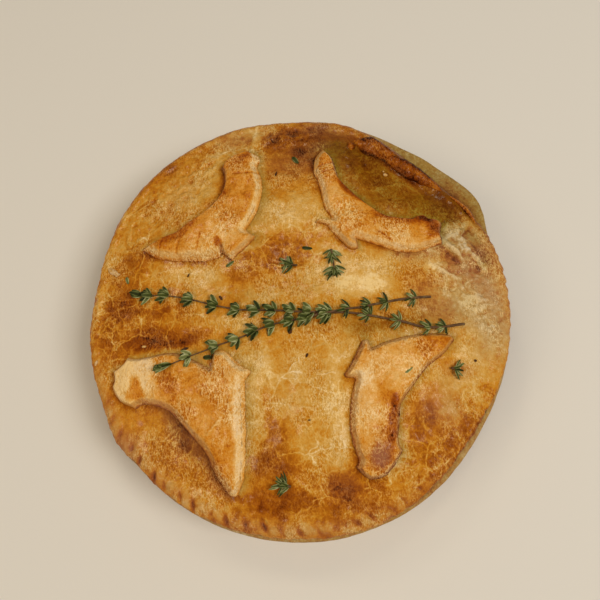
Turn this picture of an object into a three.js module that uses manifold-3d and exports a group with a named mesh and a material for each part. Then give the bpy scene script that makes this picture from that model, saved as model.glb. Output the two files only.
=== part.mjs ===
// Turkey and ham pie: a round double-crust pie with four hen-shaped pastry cut-outs and thyme on its lid.
// Units are millimetres and +Z is up. The origin is the middle of the flat base, and +Y points to the far
// side of the pie. Plan angles run from +X towards +Y, in degrees.

import * as THREE from 'three';
import { mergeVertices } from 'three/addons/utils/BufferGeometryUtils.js';
import { TessellateModifier } from 'three/addons/modifiers/TessellateModifier.js';
import Module from 'manifold-3d';

const wasm = await Module();
wasm.setup();

const { clamp, degToRad, euclideanModulo, radToDeg, smoothstep } = THREE.MathUtils;
const TURN = Math.PI * 2;

// Driving dimensions of the pie
const RIM_HALF_WIDTH = 118;
const RIM_HALF_DEPTH = 123;
const FLANGE_TOP = 38;
const FLANGE_THICKNESS = 4.5;
const FLANGE_OVERHANG = 9;
const FLANGE_ROUND = 1;
const WALL_LEAN = 9;
const BASE_ROUND = 5;
const LID_THICKNESS = 4;
const LID_UNDERCUT = 0.5;
const DOME_HEIGHT = 13;
const RIM_BAND = 6;
const GAP = 0.3;

// Uneven rim: bulges and dents of the outline, and the flap of base pastry at the far right
const RIM_BUMPS = [
  { middle: 3, reach: 30, out: 1.4 },
  { middle: 87, reach: 18, out: -2 },
  { middle: 132, reach: 26, out: 1 },
  { middle: 167, reach: 22, out: -2 },
  { middle: -148, reach: 9, out: 2 },
  { middle: -42, reach: 26, out: -1.6 },
];
const FLAP = { middle: 27, reach: 15, out: 9, droop: 2.5 };

// How far the lid's edge stays back from the edge of the base pastry
const LID_SETBACK = 1.2;
const LID_SETBACKS = [
  { middle: 42, reach: 34, out: 6.5 },
  { middle: -50, reach: 34, out: 3.6 },
  { middle: -98, reach: 30, out: 1.4 },
];

// Lid relief: finger crimps along the near rim, a burnt roll along the far right edge, a hollow inside it,
// creases on the right, and a slow swell with a finer ripple all over
const CRIMP_COUNT = 80;
const CRIMP = { middle: -90, reach: 110, depth: 1.6, pull: 1, length: 9 };
const EDGE_ROUND = { depth: 1.6, run: 4 };
const ROLL = { middle: 42, reach: 30, height: 4.5, inset: 5, half: 4.5 };
const HOLLOW = { x: 62, y: 70, radius: 20, depth: 2.4 };
const CREASES = [
  { from: [83, 28], to: [95, 14] },
  { from: [70, 17], to: [89, 5] },
  { from: [95, 26], to: [106, 9] },
];
const CREASE = { height: 1.3, half: 2.6 };
const SWELL = { height: 0.7, wave: 58, phase: [1, 2], fade: 14 };
const RIPPLE = { height: 0.35, wave: [27, 34] };

// Meshing of the lid and the case: rings as a share of the lid's radius, with their number of points
const TOP_RINGS = [[0.12, 30], [0.25, 30], [0.38, 60], [0.5, 60], [0.61, 60], [0.71, 120], [0.79, 120],
  [0.86, 120], [0.91, 120], [0.945, 240], [0.975, 240], [1, 240]];
const INNER_RINGS = [[0.3, 30], [0.6, 60], [0.9, 120]];
const EDGE_POINTS = 240;
const FLANGE_POINTS = 120;
const WALL_POINTS = 60;
const MERGE_DISTANCE = 1e-4;

// Hen cut-out: one outline for all four, with the head at the upper left, the tail at the lower right and
// the feet at the upper right
const HEN = {
  crown: [-27, 35.5],
  head: [[-35.5, 30], [-36, 19], [-26, 11.2]],
  back: [[-20.5, 12.4], [-10, 8.5], [2, 2], [12, -12], [17, -25]],
  tail: [[22, -36], [28, -29]],
  belly: [[31.5, -6], [29.5, 12]],
  heel: [35.5, 15],
  foot: [[27, 27], [19, 32]],
  notch: [17, 24.5],
  breast: [[5, 30], [-8, 34.5], [-21, 33]],
};
const HEN_SPAN = 120;
const HEN_THICKNESS = 5;
const HEN_BEVEL = 1.1;
const HEN_SINK = 2.5;
const HEN_EDGE = 16;
const HEN_SPLITS = 12;

// Each hen's place is given before it is turned, by quarter turns about the middle of the pie
const HENS = [
  {
    name: 'hen_lower_left',
    turns: 0,
    at: [-64, -60],
    stretch: [1.03, 1.03],
    headShift: [-1, 0],
    tailShift: [-1, 0],
  },
  {
    name: 'hen_lower_right',
    turns: 1,
    at: [-61.5, -51],
    stretch: [0.97, 0.96],
    headShift: [0, -4],
    tailShift: [7, 3],
  },
  {
    name: 'hen_upper_right',
    turns: 2,
    at: [-51, -54],
    stretch: [0.98, 1],
    headShift: [0, 1],
    tailShift: [3, 0],
  },
  {
    name: 'hen_upper_left',
    turns: 3,
    at: [-58, -47],
    stretch: [0.99, 0.99],
    headShift: [0, 1],
    tailShift: [-3, 0],
  },
];

// Thyme: plan routes of the sprigs from tip to bare end, whorls by their distance from the tip
const STEM_RADIUS = 0.7;
const STEM_SIDES = 4;
const STEM_STEP = 7;
const STEM_LEAST_STEPS = 3;
const STEM_SLOPE = 0.3;
const STEM_PROBES = 8;
const RAY_START = 200;
const LEAF = { length: 6, width: 3, thick: 0.9, sides: 4, curl: 0.4, behindRoot: 0.08, aboveAxis: 0.2 };
const LEAF_RANGE = { scale: [0.75, 1.15], roll: [0, 0.5], rise: [0.1, 0.35], spread: [0.35, 1.1] };
const WHORL = [
  { side: -1, behind: 0 },
  { side: 1, behind: 0.6 },
  { side: -1, behind: 2.6 },
  { side: 1, behind: 3.2 },
];
const SPRIGS = [
  {
    name: 'thyme_sprig_long',
    seed: 11,
    route: [[-91, 13], [-72.5, 10], [-59, 6], [-45, 0.5], [-32, -3.5], [-16, -6], [1.5, -9], [17, -11],
      [28, -12], [40, -15], [54, -19], [69, -23.5], [88, -23]],
    whorls: [3, 8, 20, 35, 49, 63, 73, 82, 92, 102, 111, 136, 156, 174],
  },
  {
    name: 'thyme_sprig_short',
    seed: 23,
    route: [[-77, -32], [-61, -27.5], [-46, -22.5], [-35.5, -20.4], [-25, -17.4], [-16, -14.7], [-7, -13.6],
      [2, -12.8], [15, -11.3], [25, -10.2], [33, -9.5], [47, -8], [61, -7], [72, -7]],
    whorls: [3, 7, 17, 33, 44, 54, 64, 73, 82, 90, 104, 121, 128, 144],
  },
  { name: 'thyme_tip_double', seed: 31, route: [[22, 9], [22.4, 16], [22, 25]], whorls: [2.5, 6, 13] },
  { name: 'thyme_tip_middle', seed: 37, route: [[-5, 19.6], [-1, 18.3], [2.5, 17.4]], whorls: [2, 4.5] },
  { name: 'thyme_tip_front', seed: 41, route: [[-18, -93.6], [-15, -94.6], [-12, -95.4]], whorls: [1.5, 4] },
  { name: 'thyme_tip_right', seed: 43, route: [[83, -47], [80, -46.4], [77, -45.6]], whorls: [3, 5] },
];

// Single leaves that lie stuck to the lid or to a hen, with the height of that surface over the lid
const LOOSE_LEAVES = [
  { on: 'pie_lid', at: [9, 27.4], yaw: -15, over: 0 },
  { on: 'pie_lid', at: [8, 88], yaw: -65, over: 0 },
  { on: 'pie_lid', at: [-94, 23], yaw: -80, over: 0 },
  { on: 'hen_lower_right', at: [55, -44.7], yaw: 27, over: HEN_THICKNESS },
];
const LOOSE_LEAF_RISE = 0.2;

const PASTRY = new THREE.MeshStandardMaterial({ color: 0xc98a3c, roughness: 0.45, metalness: 0 });
const CASE_PASTRY = new THREE.MeshStandardMaterial({ color: 0xd9b06c, roughness: 0.6, metalness: 0 });
const HEN_PASTRY = new THREE.MeshStandardMaterial({ color: 0xd79a52, roughness: 0.5, metalness: 0 });
const THYME = new THREE.MeshStandardMaterial({ color: 0x4b6135, roughness: 0.6, metalness: 0 });

// Small helpers

// Draws evenly spread numbers from 0 to 1, the same ones for the same seed
function seeded(seed) {
  const multiplier = 1664525;
  const increment = 1013904223;
  const modulus = 2 ** 32;
  let state = seed;
  return () => {
    state = (state * multiplier + increment) % modulus;
    return state / modulus;
  };
}

function between([low, high], random) {
  return low + (high - low) * random();
}

// 1 at the middle angle, falling smoothly to 0 at the reach on each side
function bump(angle, { middle, reach }) {
  const turned = euclideanModulo(radToDeg(angle) - middle + 180, 360) - 180;
  const away = Math.min(Math.abs(turned) / reach, 1);
  return 0.5 + 0.5 * Math.cos(Math.PI * away);
}

function sumOfBumps(angle, bumps) {
  return bumps.reduce((sum, one) => sum + one.out * bump(angle, one), 0);
}

function hill(distance, half) {
  return Math.exp(-((distance / half) ** 2));
}

function distanceToLine(x, y, { from, to }) {
  const line = new THREE.Line3(new THREE.Vector3(...from, 0), new THREE.Vector3(...to, 0));
  const point = new THREE.Vector3(x, y, 0);
  return line.closestPointToPoint(point, true, new THREE.Vector3()).distanceTo(point);
}

function solidOf(geometry) {
  const bare = geometry.clone();
  bare.deleteAttribute('normal');
  bare.deleteAttribute('uv');
  const merged = mergeVertices(bare, MERGE_DISTANCE);
  const vertProperties = new Float32Array(merged.attributes.position.array);
  const triVerts = new Uint32Array(merged.index.array);
  return new wasm.Manifold(new wasm.Mesh({ numProp: 3, vertProperties, triVerts }));
}

function geometryOf(solid) {
  const mesh = solid.getMesh();
  const geometry = new THREE.BufferGeometry();
  geometry.setAttribute('position', new THREE.BufferAttribute(new Float32Array(mesh.vertProperties), 3));
  geometry.setIndex(new THREE.BufferAttribute(new Uint32Array(mesh.triVerts), 1));
  geometry.computeVertexNormals();
  return geometry;
}

function raised(geometry) {
  return solidOf(geometry.clone().translate(0, 0, GAP));
}

function piece(name, geometry, material) {
  const mesh = new THREE.Mesh(geometry, material.clone());
  mesh.name = name;
  mesh.updateMatrixWorld();
  return mesh;
}

// A closed skin over a stack of rings from one pole to the other. Neighbouring rings have as many points
// as each other, or one has half the other's, and a pole is a ring of one point.
function skinRings(rings) {
  const position = rings.flat().flatMap((point) => point.toArray());
  const index = [];
  let start = 0;
  for (let k = 0; k + 1 < rings.length; k += 1) {
    const here = rings[k].length;
    const next = rings[k + 1].length;
    const steps = Math.max(here, next);
    for (let i = 0; i < steps; i += 1) {
      const a = start + Math.floor((i * here) / steps);
      const aNext = start + (Math.floor(((i + 1) * here) / steps) % here);
      const b = start + here + Math.floor((i * next) / steps);
      const bNext = start + here + (Math.floor(((i + 1) * next) / steps) % next);
      if (b !== bNext) index.push(a, b, bNext);
      if (a !== aNext) index.push(a, bNext, aNext);
    }
    start += here;
  }
  const geometry = new THREE.BufferGeometry();
  geometry.setAttribute('position', new THREE.Float32BufferAttribute(position, 3));
  geometry.setIndex(index);
  geometry.computeVertexNormals();
  return geometry;
}

function ring(count, radiusAt, heightAt) {
  return Array.from({ length: count }, (_, i) => {
    const angle = (i / count) * TURN;
    const radius = radiusAt(angle);
    const x = radius * Math.cos(angle);
    const y = radius * Math.sin(angle);
    return new THREE.Vector3(x, y, heightAt(x, y, angle));
  });
}

function pole(z) {
  return [new THREE.Vector3(0, 0, z)];
}

// The pie's plan and heights

function ovalRadius(angle) {
  return 1 / Math.hypot(Math.cos(angle) / RIM_HALF_WIDTH, Math.sin(angle) / RIM_HALF_DEPTH);
}

function rimRadius(angle) {
  return ovalRadius(angle) + sumOfBumps(angle, RIM_BUMPS);
}

function flangeRadius(angle) {
  return rimRadius(angle) + FLAP.out * bump(angle, FLAP);
}

function lidRadius(angle) {
  return rimRadius(angle) - LID_SETBACK - sumOfBumps(angle, LID_SETBACKS);
}

// Crimps are cosine troughs whose middles fall on every third point of the rim's rings. They run at full
// depth along the near rim and fade out at its two ends.
function crimp(angle) {
  const strength = Math.min(1, 2 * bump(angle, CRIMP));
  return strength * Math.max(Math.cos(CRIMP_COUNT * angle), 0);
}

function domeRise(inFromEdge) {
  const run = Math.min(RIM_HALF_WIDTH, RIM_HALF_DEPTH) - RIM_BAND;
  const share = clamp((inFromEdge - RIM_BAND) / run, 0, 1);
  return DOME_HEIGHT * (1 - (1 - share) ** 2);
}

function lidUnderside(x, y) {
  const inFromEdge = lidRadius(Math.atan2(y, x)) - Math.hypot(x, y);
  return FLANGE_TOP + GAP + domeRise(inFromEdge);
}

function wave(distance, length, phase = 0) {
  return Math.sin((distance / length) * TURN + phase);
}

function unevenness(x, y, inFromEdge) {
  const swell = SWELL.height * wave(x, SWELL.wave, SWELL.phase[0]) * wave(y, SWELL.wave, SWELL.phase[1]);
  const ripple = RIPPLE.height * wave(x + y, RIPPLE.wave[0]) * wave(x - y, RIPPLE.wave[1]);
  return (swell + ripple) * smoothstep(inFromEdge, 0, SWELL.fade);
}

function foldsAndCreases(x, y, angle, inFromEdge) {
  const roll = ROLL.height * bump(angle, ROLL) * hill(inFromEdge - ROLL.inset, ROLL.half);
  const hollow = HOLLOW.depth * hill(Math.hypot(x - HOLLOW.x, y - HOLLOW.y), HOLLOW.radius);
  const creases = CREASES.map((line) => CREASE.height * hill(distanceToLine(x, y, line), CREASE.half));
  return roll - hollow + creases.reduce((sum, height) => sum + height, 0);
}

function edgeDrop(angle, inFromEdge) {
  const press = CRIMP.depth * crimp(angle) * Math.max(1 - inFromEdge / CRIMP.length, 0);
  const round = EDGE_ROUND.depth * Math.max(1 - inFromEdge / EDGE_ROUND.run, 0) ** 2;
  return press + round;
}

function lidHeight(x, y) {
  const angle = Math.atan2(y, x);
  const inFromEdge = lidRadius(angle) - Math.hypot(x, y);
  const relief = unevenness(x, y, inFromEdge) + foldsAndCreases(x, y, angle, inFromEdge);
  return lidUnderside(x, y) + LID_THICKNESS + relief - edgeDrop(angle, inFromEdge);
}

// Pastry case with its filling, solid, from the flat base up to the underside of the lid

function caseGeometry() {
  const under = (x, y) => lidUnderside(x, y) - GAP;
  const wallTop = (angle) => ovalRadius(angle) - FLANGE_OVERHANG;
  const wallFoot = (angle) => wallTop(angle) - WALL_LEAN;
  const flangeRing = (inset, depth) => ring(
    FLANGE_POINTS,
    (angle) => flangeRadius(angle) - inset,
    (x, y, angle) => FLANGE_TOP - depth - FLAP.droop * bump(angle, FLAP),
  );
  const wallRing = (radiusAt, z) => ring(WALL_POINTS, radiusAt, () => z);
  const arcMiddle = BASE_ROUND * (1 - Math.SQRT1_2);
  return skinRings([
    pole(under(0, 0)),
    ...INNER_RINGS.map(([share, count]) => ring(count, (angle) => share * lidRadius(angle), under)),
    ring(FLANGE_POINTS, lidRadius, under),
    flangeRing(FLANGE_ROUND, 0),
    flangeRing(0, FLANGE_THICKNESS / 2),
    flangeRing(FLANGE_ROUND, FLANGE_THICKNESS),
    wallRing(wallTop, FLANGE_TOP - FLANGE_THICKNESS - FLANGE_ROUND),
    wallRing(wallFoot, BASE_ROUND),
    wallRing((angle) => wallFoot(angle) - arcMiddle, arcMiddle),
    wallRing((angle) => wallFoot(angle) - BASE_ROUND, 0),
    pole(0),
  ]);
}

// Lid: a layer of pastry all over the top, down to its cut edge at the rim

function lidGeometry() {
  const edge = (angle) => lidRadius(angle) - CRIMP.pull * crimp(angle);
  const topRing = ([share, count]) => ring(count, (angle) => share * edge(angle), lidHeight);
  const underRing = ([share, count]) => ring(count, (angle) => share * lidRadius(angle), lidUnderside);
  return skinRings([
    pole(lidHeight(0, 0)),
    ...TOP_RINGS.map(topRing),
    ring(EDGE_POINTS, (angle) => edge(angle) - LID_UNDERCUT, () => FLANGE_TOP + GAP),
    ...INNER_RINGS.toReversed().map(underRing),
    pole(lidUnderside(0, 0)),
  ]);
}

// Hen cut-outs: an extruded outline laid over the lid, its underside cut to the lid's own surface

// The middle of a hen stays put, and its head and tail are shifted by a share that grows to its ends
function henPoint([x, y], { turns, at, stretch, headShift, tailShift }) {
  const along = (2 * (x - y)) / HEN_SPAN;
  const head = smoothstep(-along, 0, 1);
  const tail = smoothstep(along, 0, 1);
  const moved = new THREE.Vector2(
    x * stretch[0] + headShift[0] * head + tailShift[0] * tail + at[0],
    y * stretch[1] + headShift[1] * head + tailShift[1] * tail + at[1],
  );
  return moved.rotateAround(new THREE.Vector2(), (turns * TURN) / 4);
}

function henShape(hen) {
  const place = (point) => henPoint(point, hen);
  const shape = new THREE.Shape();
  shape.moveTo(...place(HEN.crown).toArray());
  shape.splineThru(HEN.head.map(place));
  shape.splineThru(HEN.back.map(place));
  shape.splineThru(HEN.tail.map(place));
  shape.splineThru(HEN.belly.map(place));
  shape.lineTo(...place(HEN.heel).toArray());
  shape.splineThru(HEN.foot.map(place));
  shape.lineTo(...place(HEN.notch).toArray());
  shape.splineThru([...HEN.breast, HEN.crown].map(place));
  return shape;
}

function henGeometry(hen, raisedLid) {
  const slab = new THREE.ExtrudeGeometry(henShape(hen), {
    depth: HEN_THICKNESS + HEN_SINK - 2 * HEN_BEVEL,
    curveSegments: 2,
    bevelSize: HEN_BEVEL,
    bevelOffset: -HEN_BEVEL,
    bevelThickness: HEN_BEVEL,
    bevelSegments: 1,
  });
  slab.translate(0, 0, HEN_BEVEL - HEN_SINK);
  const fine = new TessellateModifier(HEN_EDGE, HEN_SPLITS).modify(slab);
  const position = fine.attributes.position;
  for (let i = 0; i < position.count; i += 1) {
    const lift = lidHeight(position.getX(i), position.getY(i));
    position.setZ(i, position.getZ(i) + lift);
  }
  return geometryOf(solidOf(fine).subtract(raisedLid));
}

// Thyme: stems that lie on what is under them, with whorls of small pointed leaves

// A flat lens with pointed ends, bowed so that its ends lie as far above the middle height as its waist below
function leafGeometry(scale = 1) {
  const leaf = new THREE.SphereGeometry(0.5, LEAF.sides, 2);
  leaf.rotateX(TURN / 4);
  leaf.scale(LEAF.length * scale, LEAF.width * scale, LEAF.thick);
  const position = leaf.attributes.position;
  for (let i = 0; i < position.count; i += 1) {
    const along = (2 * position.getX(i)) / LEAF.length;
    position.setZ(i, position.getZ(i) + LEAF.curl * (along * along - 0.5));
  }
  return leaf;
}

function heightUnder(meshes, x, y) {
  const caster = new THREE.Raycaster(new THREE.Vector3(x, y, RAY_START), new THREE.Vector3(0, 0, -1));
  const [hit] = caster.intersectObjects(meshes, false);
  return hit.point.z;
}

// The highest ground under a stem, across its width and a gap on each side
function heightUnderStem(meshes, { x, y }) {
  const reach = STEM_RADIUS + GAP;
  const around = new THREE.Path().absarc(x, y, reach, 0, TURN).getPoints(STEM_PROBES);
  return Math.max(...[{ x, y }, ...around].map((probe) => heightUnder(meshes, probe.x, probe.y)));
}

function stemSteps(curve) {
  return Math.max(Math.round(curve.getLength() / STEM_STEP), STEM_LEAST_STEPS);
}

// A stiff stem bridges steps: each point is as high as any point near it, less the slope between them
function stemCurve(route, ground) {
  const plan = new THREE.CatmullRomCurve3(route.map(([x, y]) => new THREE.Vector3(x, y, 0)));
  const points = plan.getSpacedPoints(2 * stemSteps(plan));
  const floor = points.map((point) => heightUnderStem(ground, point) + STEM_RADIUS + GAP);
  return new THREE.CatmullRomCurve3(points.map((point) => {
    const lifts = points.map((other, j) => floor[j] - STEM_SLOPE * point.distanceTo(other));
    return new THREE.Vector3(point.x, point.y, Math.max(...lifts));
  }));
}

function stemGeometry(curve) {
  const outline = new THREE.Path().absarc(0, 0, STEM_RADIUS, 0, TURN).getPoints(STEM_SIDES);
  const settings = { steps: stemSteps(curve), extrudePath: curve, bevelEnabled: false };
  return new THREE.ExtrudeGeometry(new THREE.Shape(outline), settings);
}

// A leaf sweeps towards the tip of its sprig and spreads to one side of the stem
function leafOnStem(curve, distance, side, random) {
  const share = clamp(distance / curve.getLength(), 0, 1);
  const root = curve.getPointAt(share);
  const toTip = curve.getTangentAt(share).negate();
  const heading = Math.atan2(toTip.y, toTip.x);
  const scale = between(LEAF_RANGE.scale, random);
  const leaf = leafGeometry(scale);
  leaf.translate((0.5 - LEAF.behindRoot) * LEAF.length * scale, 0, 0);
  leaf.rotateX(side * between(LEAF_RANGE.roll, random));
  leaf.rotateY(-between(LEAF_RANGE.rise, random));
  leaf.rotateZ(heading + side * between(LEAF_RANGE.spread, random));
  leaf.translate(root.x, root.y, root.z + LEAF.aboveAxis);
  return solidOf(leaf);
}

// Leaves that would cross what lies under them, or another sprig, are left off
function addLeaves(sprig, obstacles) {
  const random = seeded(sprig.seed);
  for (const distance of sprig.whorls) {
    for (const { side, behind } of WHORL) {
      const leaf = leafOnStem(sprig.curve, distance + behind, side, random);
      const blocked = obstacles().some((solid) => !leaf.intersect(solid).isEmpty());
      if (!blocked) sprig.solid = sprig.solid.add(leaf);
    }
  }
}

function growThyme(sprigs, ground) {
  const groundSolids = ground.map((mesh) => raised(mesh.geometry));
  const laid = [...ground];
  const grown = sprigs.map((sprig) => {
    const curve = stemCurve(sprig.route, laid);
    const stem = stemGeometry(curve);
    laid.push(piece(sprig.name, stem, THYME));
    return { ...sprig, curve, solid: solidOf(stem) };
  });
  for (const sprig of grown) {
    const others = () => grown.filter((other) => other !== sprig).map((other) => other.solid);
    addLeaves(sprig, () => [...groundSolids, ...others()]);
  }
  return grown.map(({ name, solid }) => piece(name, geometryOf(solid), THYME));
}

function looseLeaf({ at, yaw, over }) {
  const leaf = leafGeometry();
  leaf.rotateZ(degToRad(yaw));
  leaf.translate(...at, lidHeight(...at) + over + LOOSE_LEAF_RISE);
  return solidOf(leaf);
}

function withLooseLeaves(name, geometry) {
  const leaves = LOOSE_LEAVES.filter(({ on }) => on === name).map(looseLeaf);
  return geometryOf(leaves.reduce((solid, leaf) => solid.add(leaf), solidOf(geometry)));
}

// Assembly

const pie = new THREE.Group();
const bareLid = lidGeometry();
const raisedLid = raised(bareLid);
const lid = piece('pie_lid', withLooseLeaves('pie_lid', bareLid), PASTRY);
const hens = HENS.map((hen) => {
  const bareHen = henGeometry(hen, raisedLid);
  return piece(hen.name, withLooseLeaves(hen.name, bareHen), HEN_PASTRY);
});
const thyme = growThyme(SPRIGS, [lid, ...hens]);
pie.add(piece('pie_case', caseGeometry(), CASE_PASTRY), lid, ...hens, ...thyme);

export default pie;
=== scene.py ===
"""Looks of a turkey and ham pie: glazed lid, pastry hens, pale base pastry and sprigs of thyme.

Sizes are in millimetres, as a baker would measure them, and MM turns them into the metres of the scene.
The origin is the middle of the flat base, +Z is up and +Y points to the far side of the pie. Plan angles
run from +X towards +Y, in degrees where a named value holds them.
"""

import math
from collections import namedtuple

import bmesh
import bpy
import numpy as np
from mathutils import Euler, Matrix, Vector, noise


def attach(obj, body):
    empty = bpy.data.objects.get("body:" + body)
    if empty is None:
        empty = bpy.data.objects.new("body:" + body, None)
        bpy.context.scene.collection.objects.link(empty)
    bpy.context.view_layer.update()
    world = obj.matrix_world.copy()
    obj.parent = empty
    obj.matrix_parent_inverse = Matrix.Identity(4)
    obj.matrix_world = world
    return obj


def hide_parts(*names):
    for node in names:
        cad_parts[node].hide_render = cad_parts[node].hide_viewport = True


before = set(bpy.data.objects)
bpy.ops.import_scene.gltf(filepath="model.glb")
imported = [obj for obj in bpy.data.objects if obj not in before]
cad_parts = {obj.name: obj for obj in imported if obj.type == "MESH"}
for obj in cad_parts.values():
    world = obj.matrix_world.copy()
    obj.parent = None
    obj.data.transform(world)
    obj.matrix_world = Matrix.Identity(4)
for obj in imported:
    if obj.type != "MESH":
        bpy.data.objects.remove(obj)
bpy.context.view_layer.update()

MM = 0.001
TURN = 2 * math.pi

# Driving dimensions of the pie
RIM_HALF_WIDTH = 118.0
RIM_HALF_DEPTH = 123.0
FLANGE_TOP = 38.0
FLANGE_THICKNESS = 4.5
FLANGE_OVERHANG = 9.0
FLANGE_EDGE_ROUND = 1.6
FLANGE_TOP_INSET = 3.0
FLANGE_UNDER_INSET = 5.0
FLANGE_SAG = 0.3
WALL_LEAN = 9.0
WALL_BEND = 1.0
BASE_ROUND = 5.0
LID_THICKNESS = 4.0
LID_GAP = 0.3
LID_FOOT = FLANGE_TOP + LID_GAP
DOME_HEIGHT = 13.0
RIM_BAND = 6.0

# Uneven rim: each bulge or dent has its middle angle, its reach to each side and how far it goes out.
# One that only marks a stretch of the rim goes out by 1.
Bulge = namedtuple("Bulge", "middle reach out")
RIM_BULGES = [
    Bulge(3, 30, 1.4),
    Bulge(87, 18, -2),
    Bulge(132, 26, 1),
    Bulge(167, 22, -2),
    Bulge(-148, 9, 2),
    Bulge(-42, 26, -1.6),
]
FLAP = Bulge(27, 15, 9)
FLAP_SHOULDER = Bulge(41, 13, 2.6)
FLAP_DROOP = 2.5
LID_SETBACK = 1.2
LID_SETBACKS = [Bulge(42, 34, 6.5), Bulge(-50, 34, 2.4), Bulge(-98, 30, 1.0)]

# Lid relief: crimps and pleats along the near rim, a burnt roll at the far right, and creases. The width,
# slant and jitter of a crimp are in spacings from one crimp to the next.
CRIMP_COUNT = 80
CRIMPED = Bulge(-115, 75, 1)
CRIMP_DEPTH = 1.5
CRIMP_INSET = 3.6
CRIMP_LENGTH = 2.4
CRIMP_WIDTH = 0.15
CRIMP_SLANT = 0.06
CRIMP_JITTER = 0.3
CRIMP_WANDER = 2.0
CRIMP_SHALLOWEST = 0.3
CRIMP_CHANCE = np.random.default_rng(5).random((3, CRIMP_COUNT))
LOBE_HEIGHT = 0.9
LOBE_INSET = 3.5
LOBE_REACH = 3.5
PLEAT_COUNT = 132
PLEATED = Bulge(-38, 42, 1)
PLEAT_HEIGHT = 0.4
PLEAT_LENGTH = 15.0
PLEAT_INSET = 5.0
PLEAT_FADE = 0.45
PLEAT_FADE_WAVES = (0.093, 0.217)
# Layers of waves have their length, strength and phase. Waves along an angle are measured in radians.
PLEAT_SWAYS = ((0.31, 0.7, 0), (0.127, 0.5, 2))
RAGGED_WAVES = ((23.1, 0.225, 0), (9.3, 0.225, 1), (4.1, 0.1575, 2))
SCALLOPED = Bulge(4, 34, 1)
SCALLOP_WAVE = 7.0
SCALLOP_DEPTH = 0.5
EDGE_DROP = 1.6
EDGE_RUN = 4.0
ROLL = Bulge(48, 28, 2.4)
ROLL_INSET = 5.0
ROLL_HALF_IN = 3.6
ROLL_HALF_OUT = 4.5
ROLL_LUMPS = 0.35
ROLL_LUMP_WAVES = (0.16, 0.059)
ROLL_SHADE_INSET = 10.5
ROLL_SHADE_HALF = 2.6
ROLL_SHADED = Bulge(52, 22, 1)
# Each lobe of the roll has its crest from end to end, its half width, its height and how dark it is, baked
# and partly painted shade
Lobe = namedtuple("Lobe", "crest half height bake")
ROLL_LOBES = [
    Lobe([(42.5, 99), (43, 96), (42.6, 92.5)], 2.6, 1.4, 0.80),
    Lobe([(45, 100), (52, 96.2), (59, 92.2), (69, 85.6)], 6.4, 3.6, 0.82),
    Lobe([(61, 88.2), (69.2, 81.8), (78.2, 73.8), (85.2, 67.2), (93, 59.4)], 5.8, 3.3, 0.88),
    Lobe([(96, 57), (103, 50), (106.2, 43.7), (108, 37)], 2.3, 2.0, 0.76),
]
OLIVE_STRIP = Bulge(36, 30, 1)
OLIVE_WIDTH = 5.0
HOLLOW_AT = (62, 70)
HOLLOW_RADIUS = 20.0
HOLLOW_DEPTH = 2.4
Crease = namedtuple("Crease", "start end height half")
LID_CREASES = [
    Crease((83, 28), (95, 14), 0.9, 3.0),
    Crease((95, 26), (106, 9), 0.9, 3.0),
    Crease((86, 26.5), (90, 21), 1.0, 1.1),
    Crease((90, 21), (94, 15), 1.0, 1.1),
    Crease((84, 23), (92, 12.5), -0.8, 0.9),
    Crease((101.5, 17.5), (104.5, 12), 0.9, 1.1),
    Crease((104.5, 12), (106.5, 8), 0.8, 1.0),
    Crease((99.5, 17), (104, 7.5), -0.8, 0.9),
    Crease((74.5, 9.8), (82.4, 4.4), -0.5, 0.9),
    Crease((85, 27), (94, 30), 0.8, 1.5),
    Crease((94, 30), (103.5, 38), 0.7, 1.4),
    Crease((97, 29), (104, 34), -0.7, 1.2),
    Crease((75, 12.5), (83, 7), 0.9, 1.2),
    Crease((83, 7), (91, 3), 0.9, 1.2),
    Crease((92.6, 1), (94.6, -5.5), -1.2, 0.8),
    Crease((108, -23), (113, -20), -0.8, 0.8),
    Crease((-18, 98), (-13, 119), 0.6, 1.2),
    Crease((-10, -92), (5, -106), 0.5, 0.8),
    Crease((-88, 47), (-76, 52), 0.5, 0.9),
]
SWELL = 0.7
SWELL_WAVE = 58.0
SWELL_PHASE = (1, 2)
RIPPLE = 0.35
RIPPLE_WAVES = (27.0, 34.0)
SWELL_FADE = 14.0
# Layers of grain have the size of their features and their strength
BLISTERS = ((9.0, 0.25), (3.4, 0.2), (1.7, 0.1))
CASE_ROUGHNESS = ((14, 0.35), (4, 0.2), (1.8, 0.1))
FLAKE_LAYERS = ((7.0, 0.55), (3.0, 0.45))
FLAKE_SHARPNESS = 3
FLAKE_HEIGHT = 1.6

# Rows and sectors of the lid's and the case's skins
LID_SECTORS = 780
LID_TOP_ROWS = 112
LID_ROW_CROWDING = 1.2
LID_UNDER_SHARES = (0.0, 0.35, 0.7, 0.92)
LID_FOOT_INSET = 0.6
LID_SIDE_LEVELS = (0.3, 0.65)
LID_SIDE_LEAN = 0.4
CASE_SECTORS = 480
CASE_WALL_ROWS = 22
CASE_FOOT_SHARES = (0.0, 0.5, 0.85)
CASE_TOP_SHARES = (1.0, 0.9, 0.6, 0.3, 0.0)
BASE_ROUND_TURNS = (0, 22.5, 45, 67.5, 90)
FLANGE_EDGE_TURNS = (-80, -50, -25, 0, 25, 50, 80)
SEAM_REACH = 0.002

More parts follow.
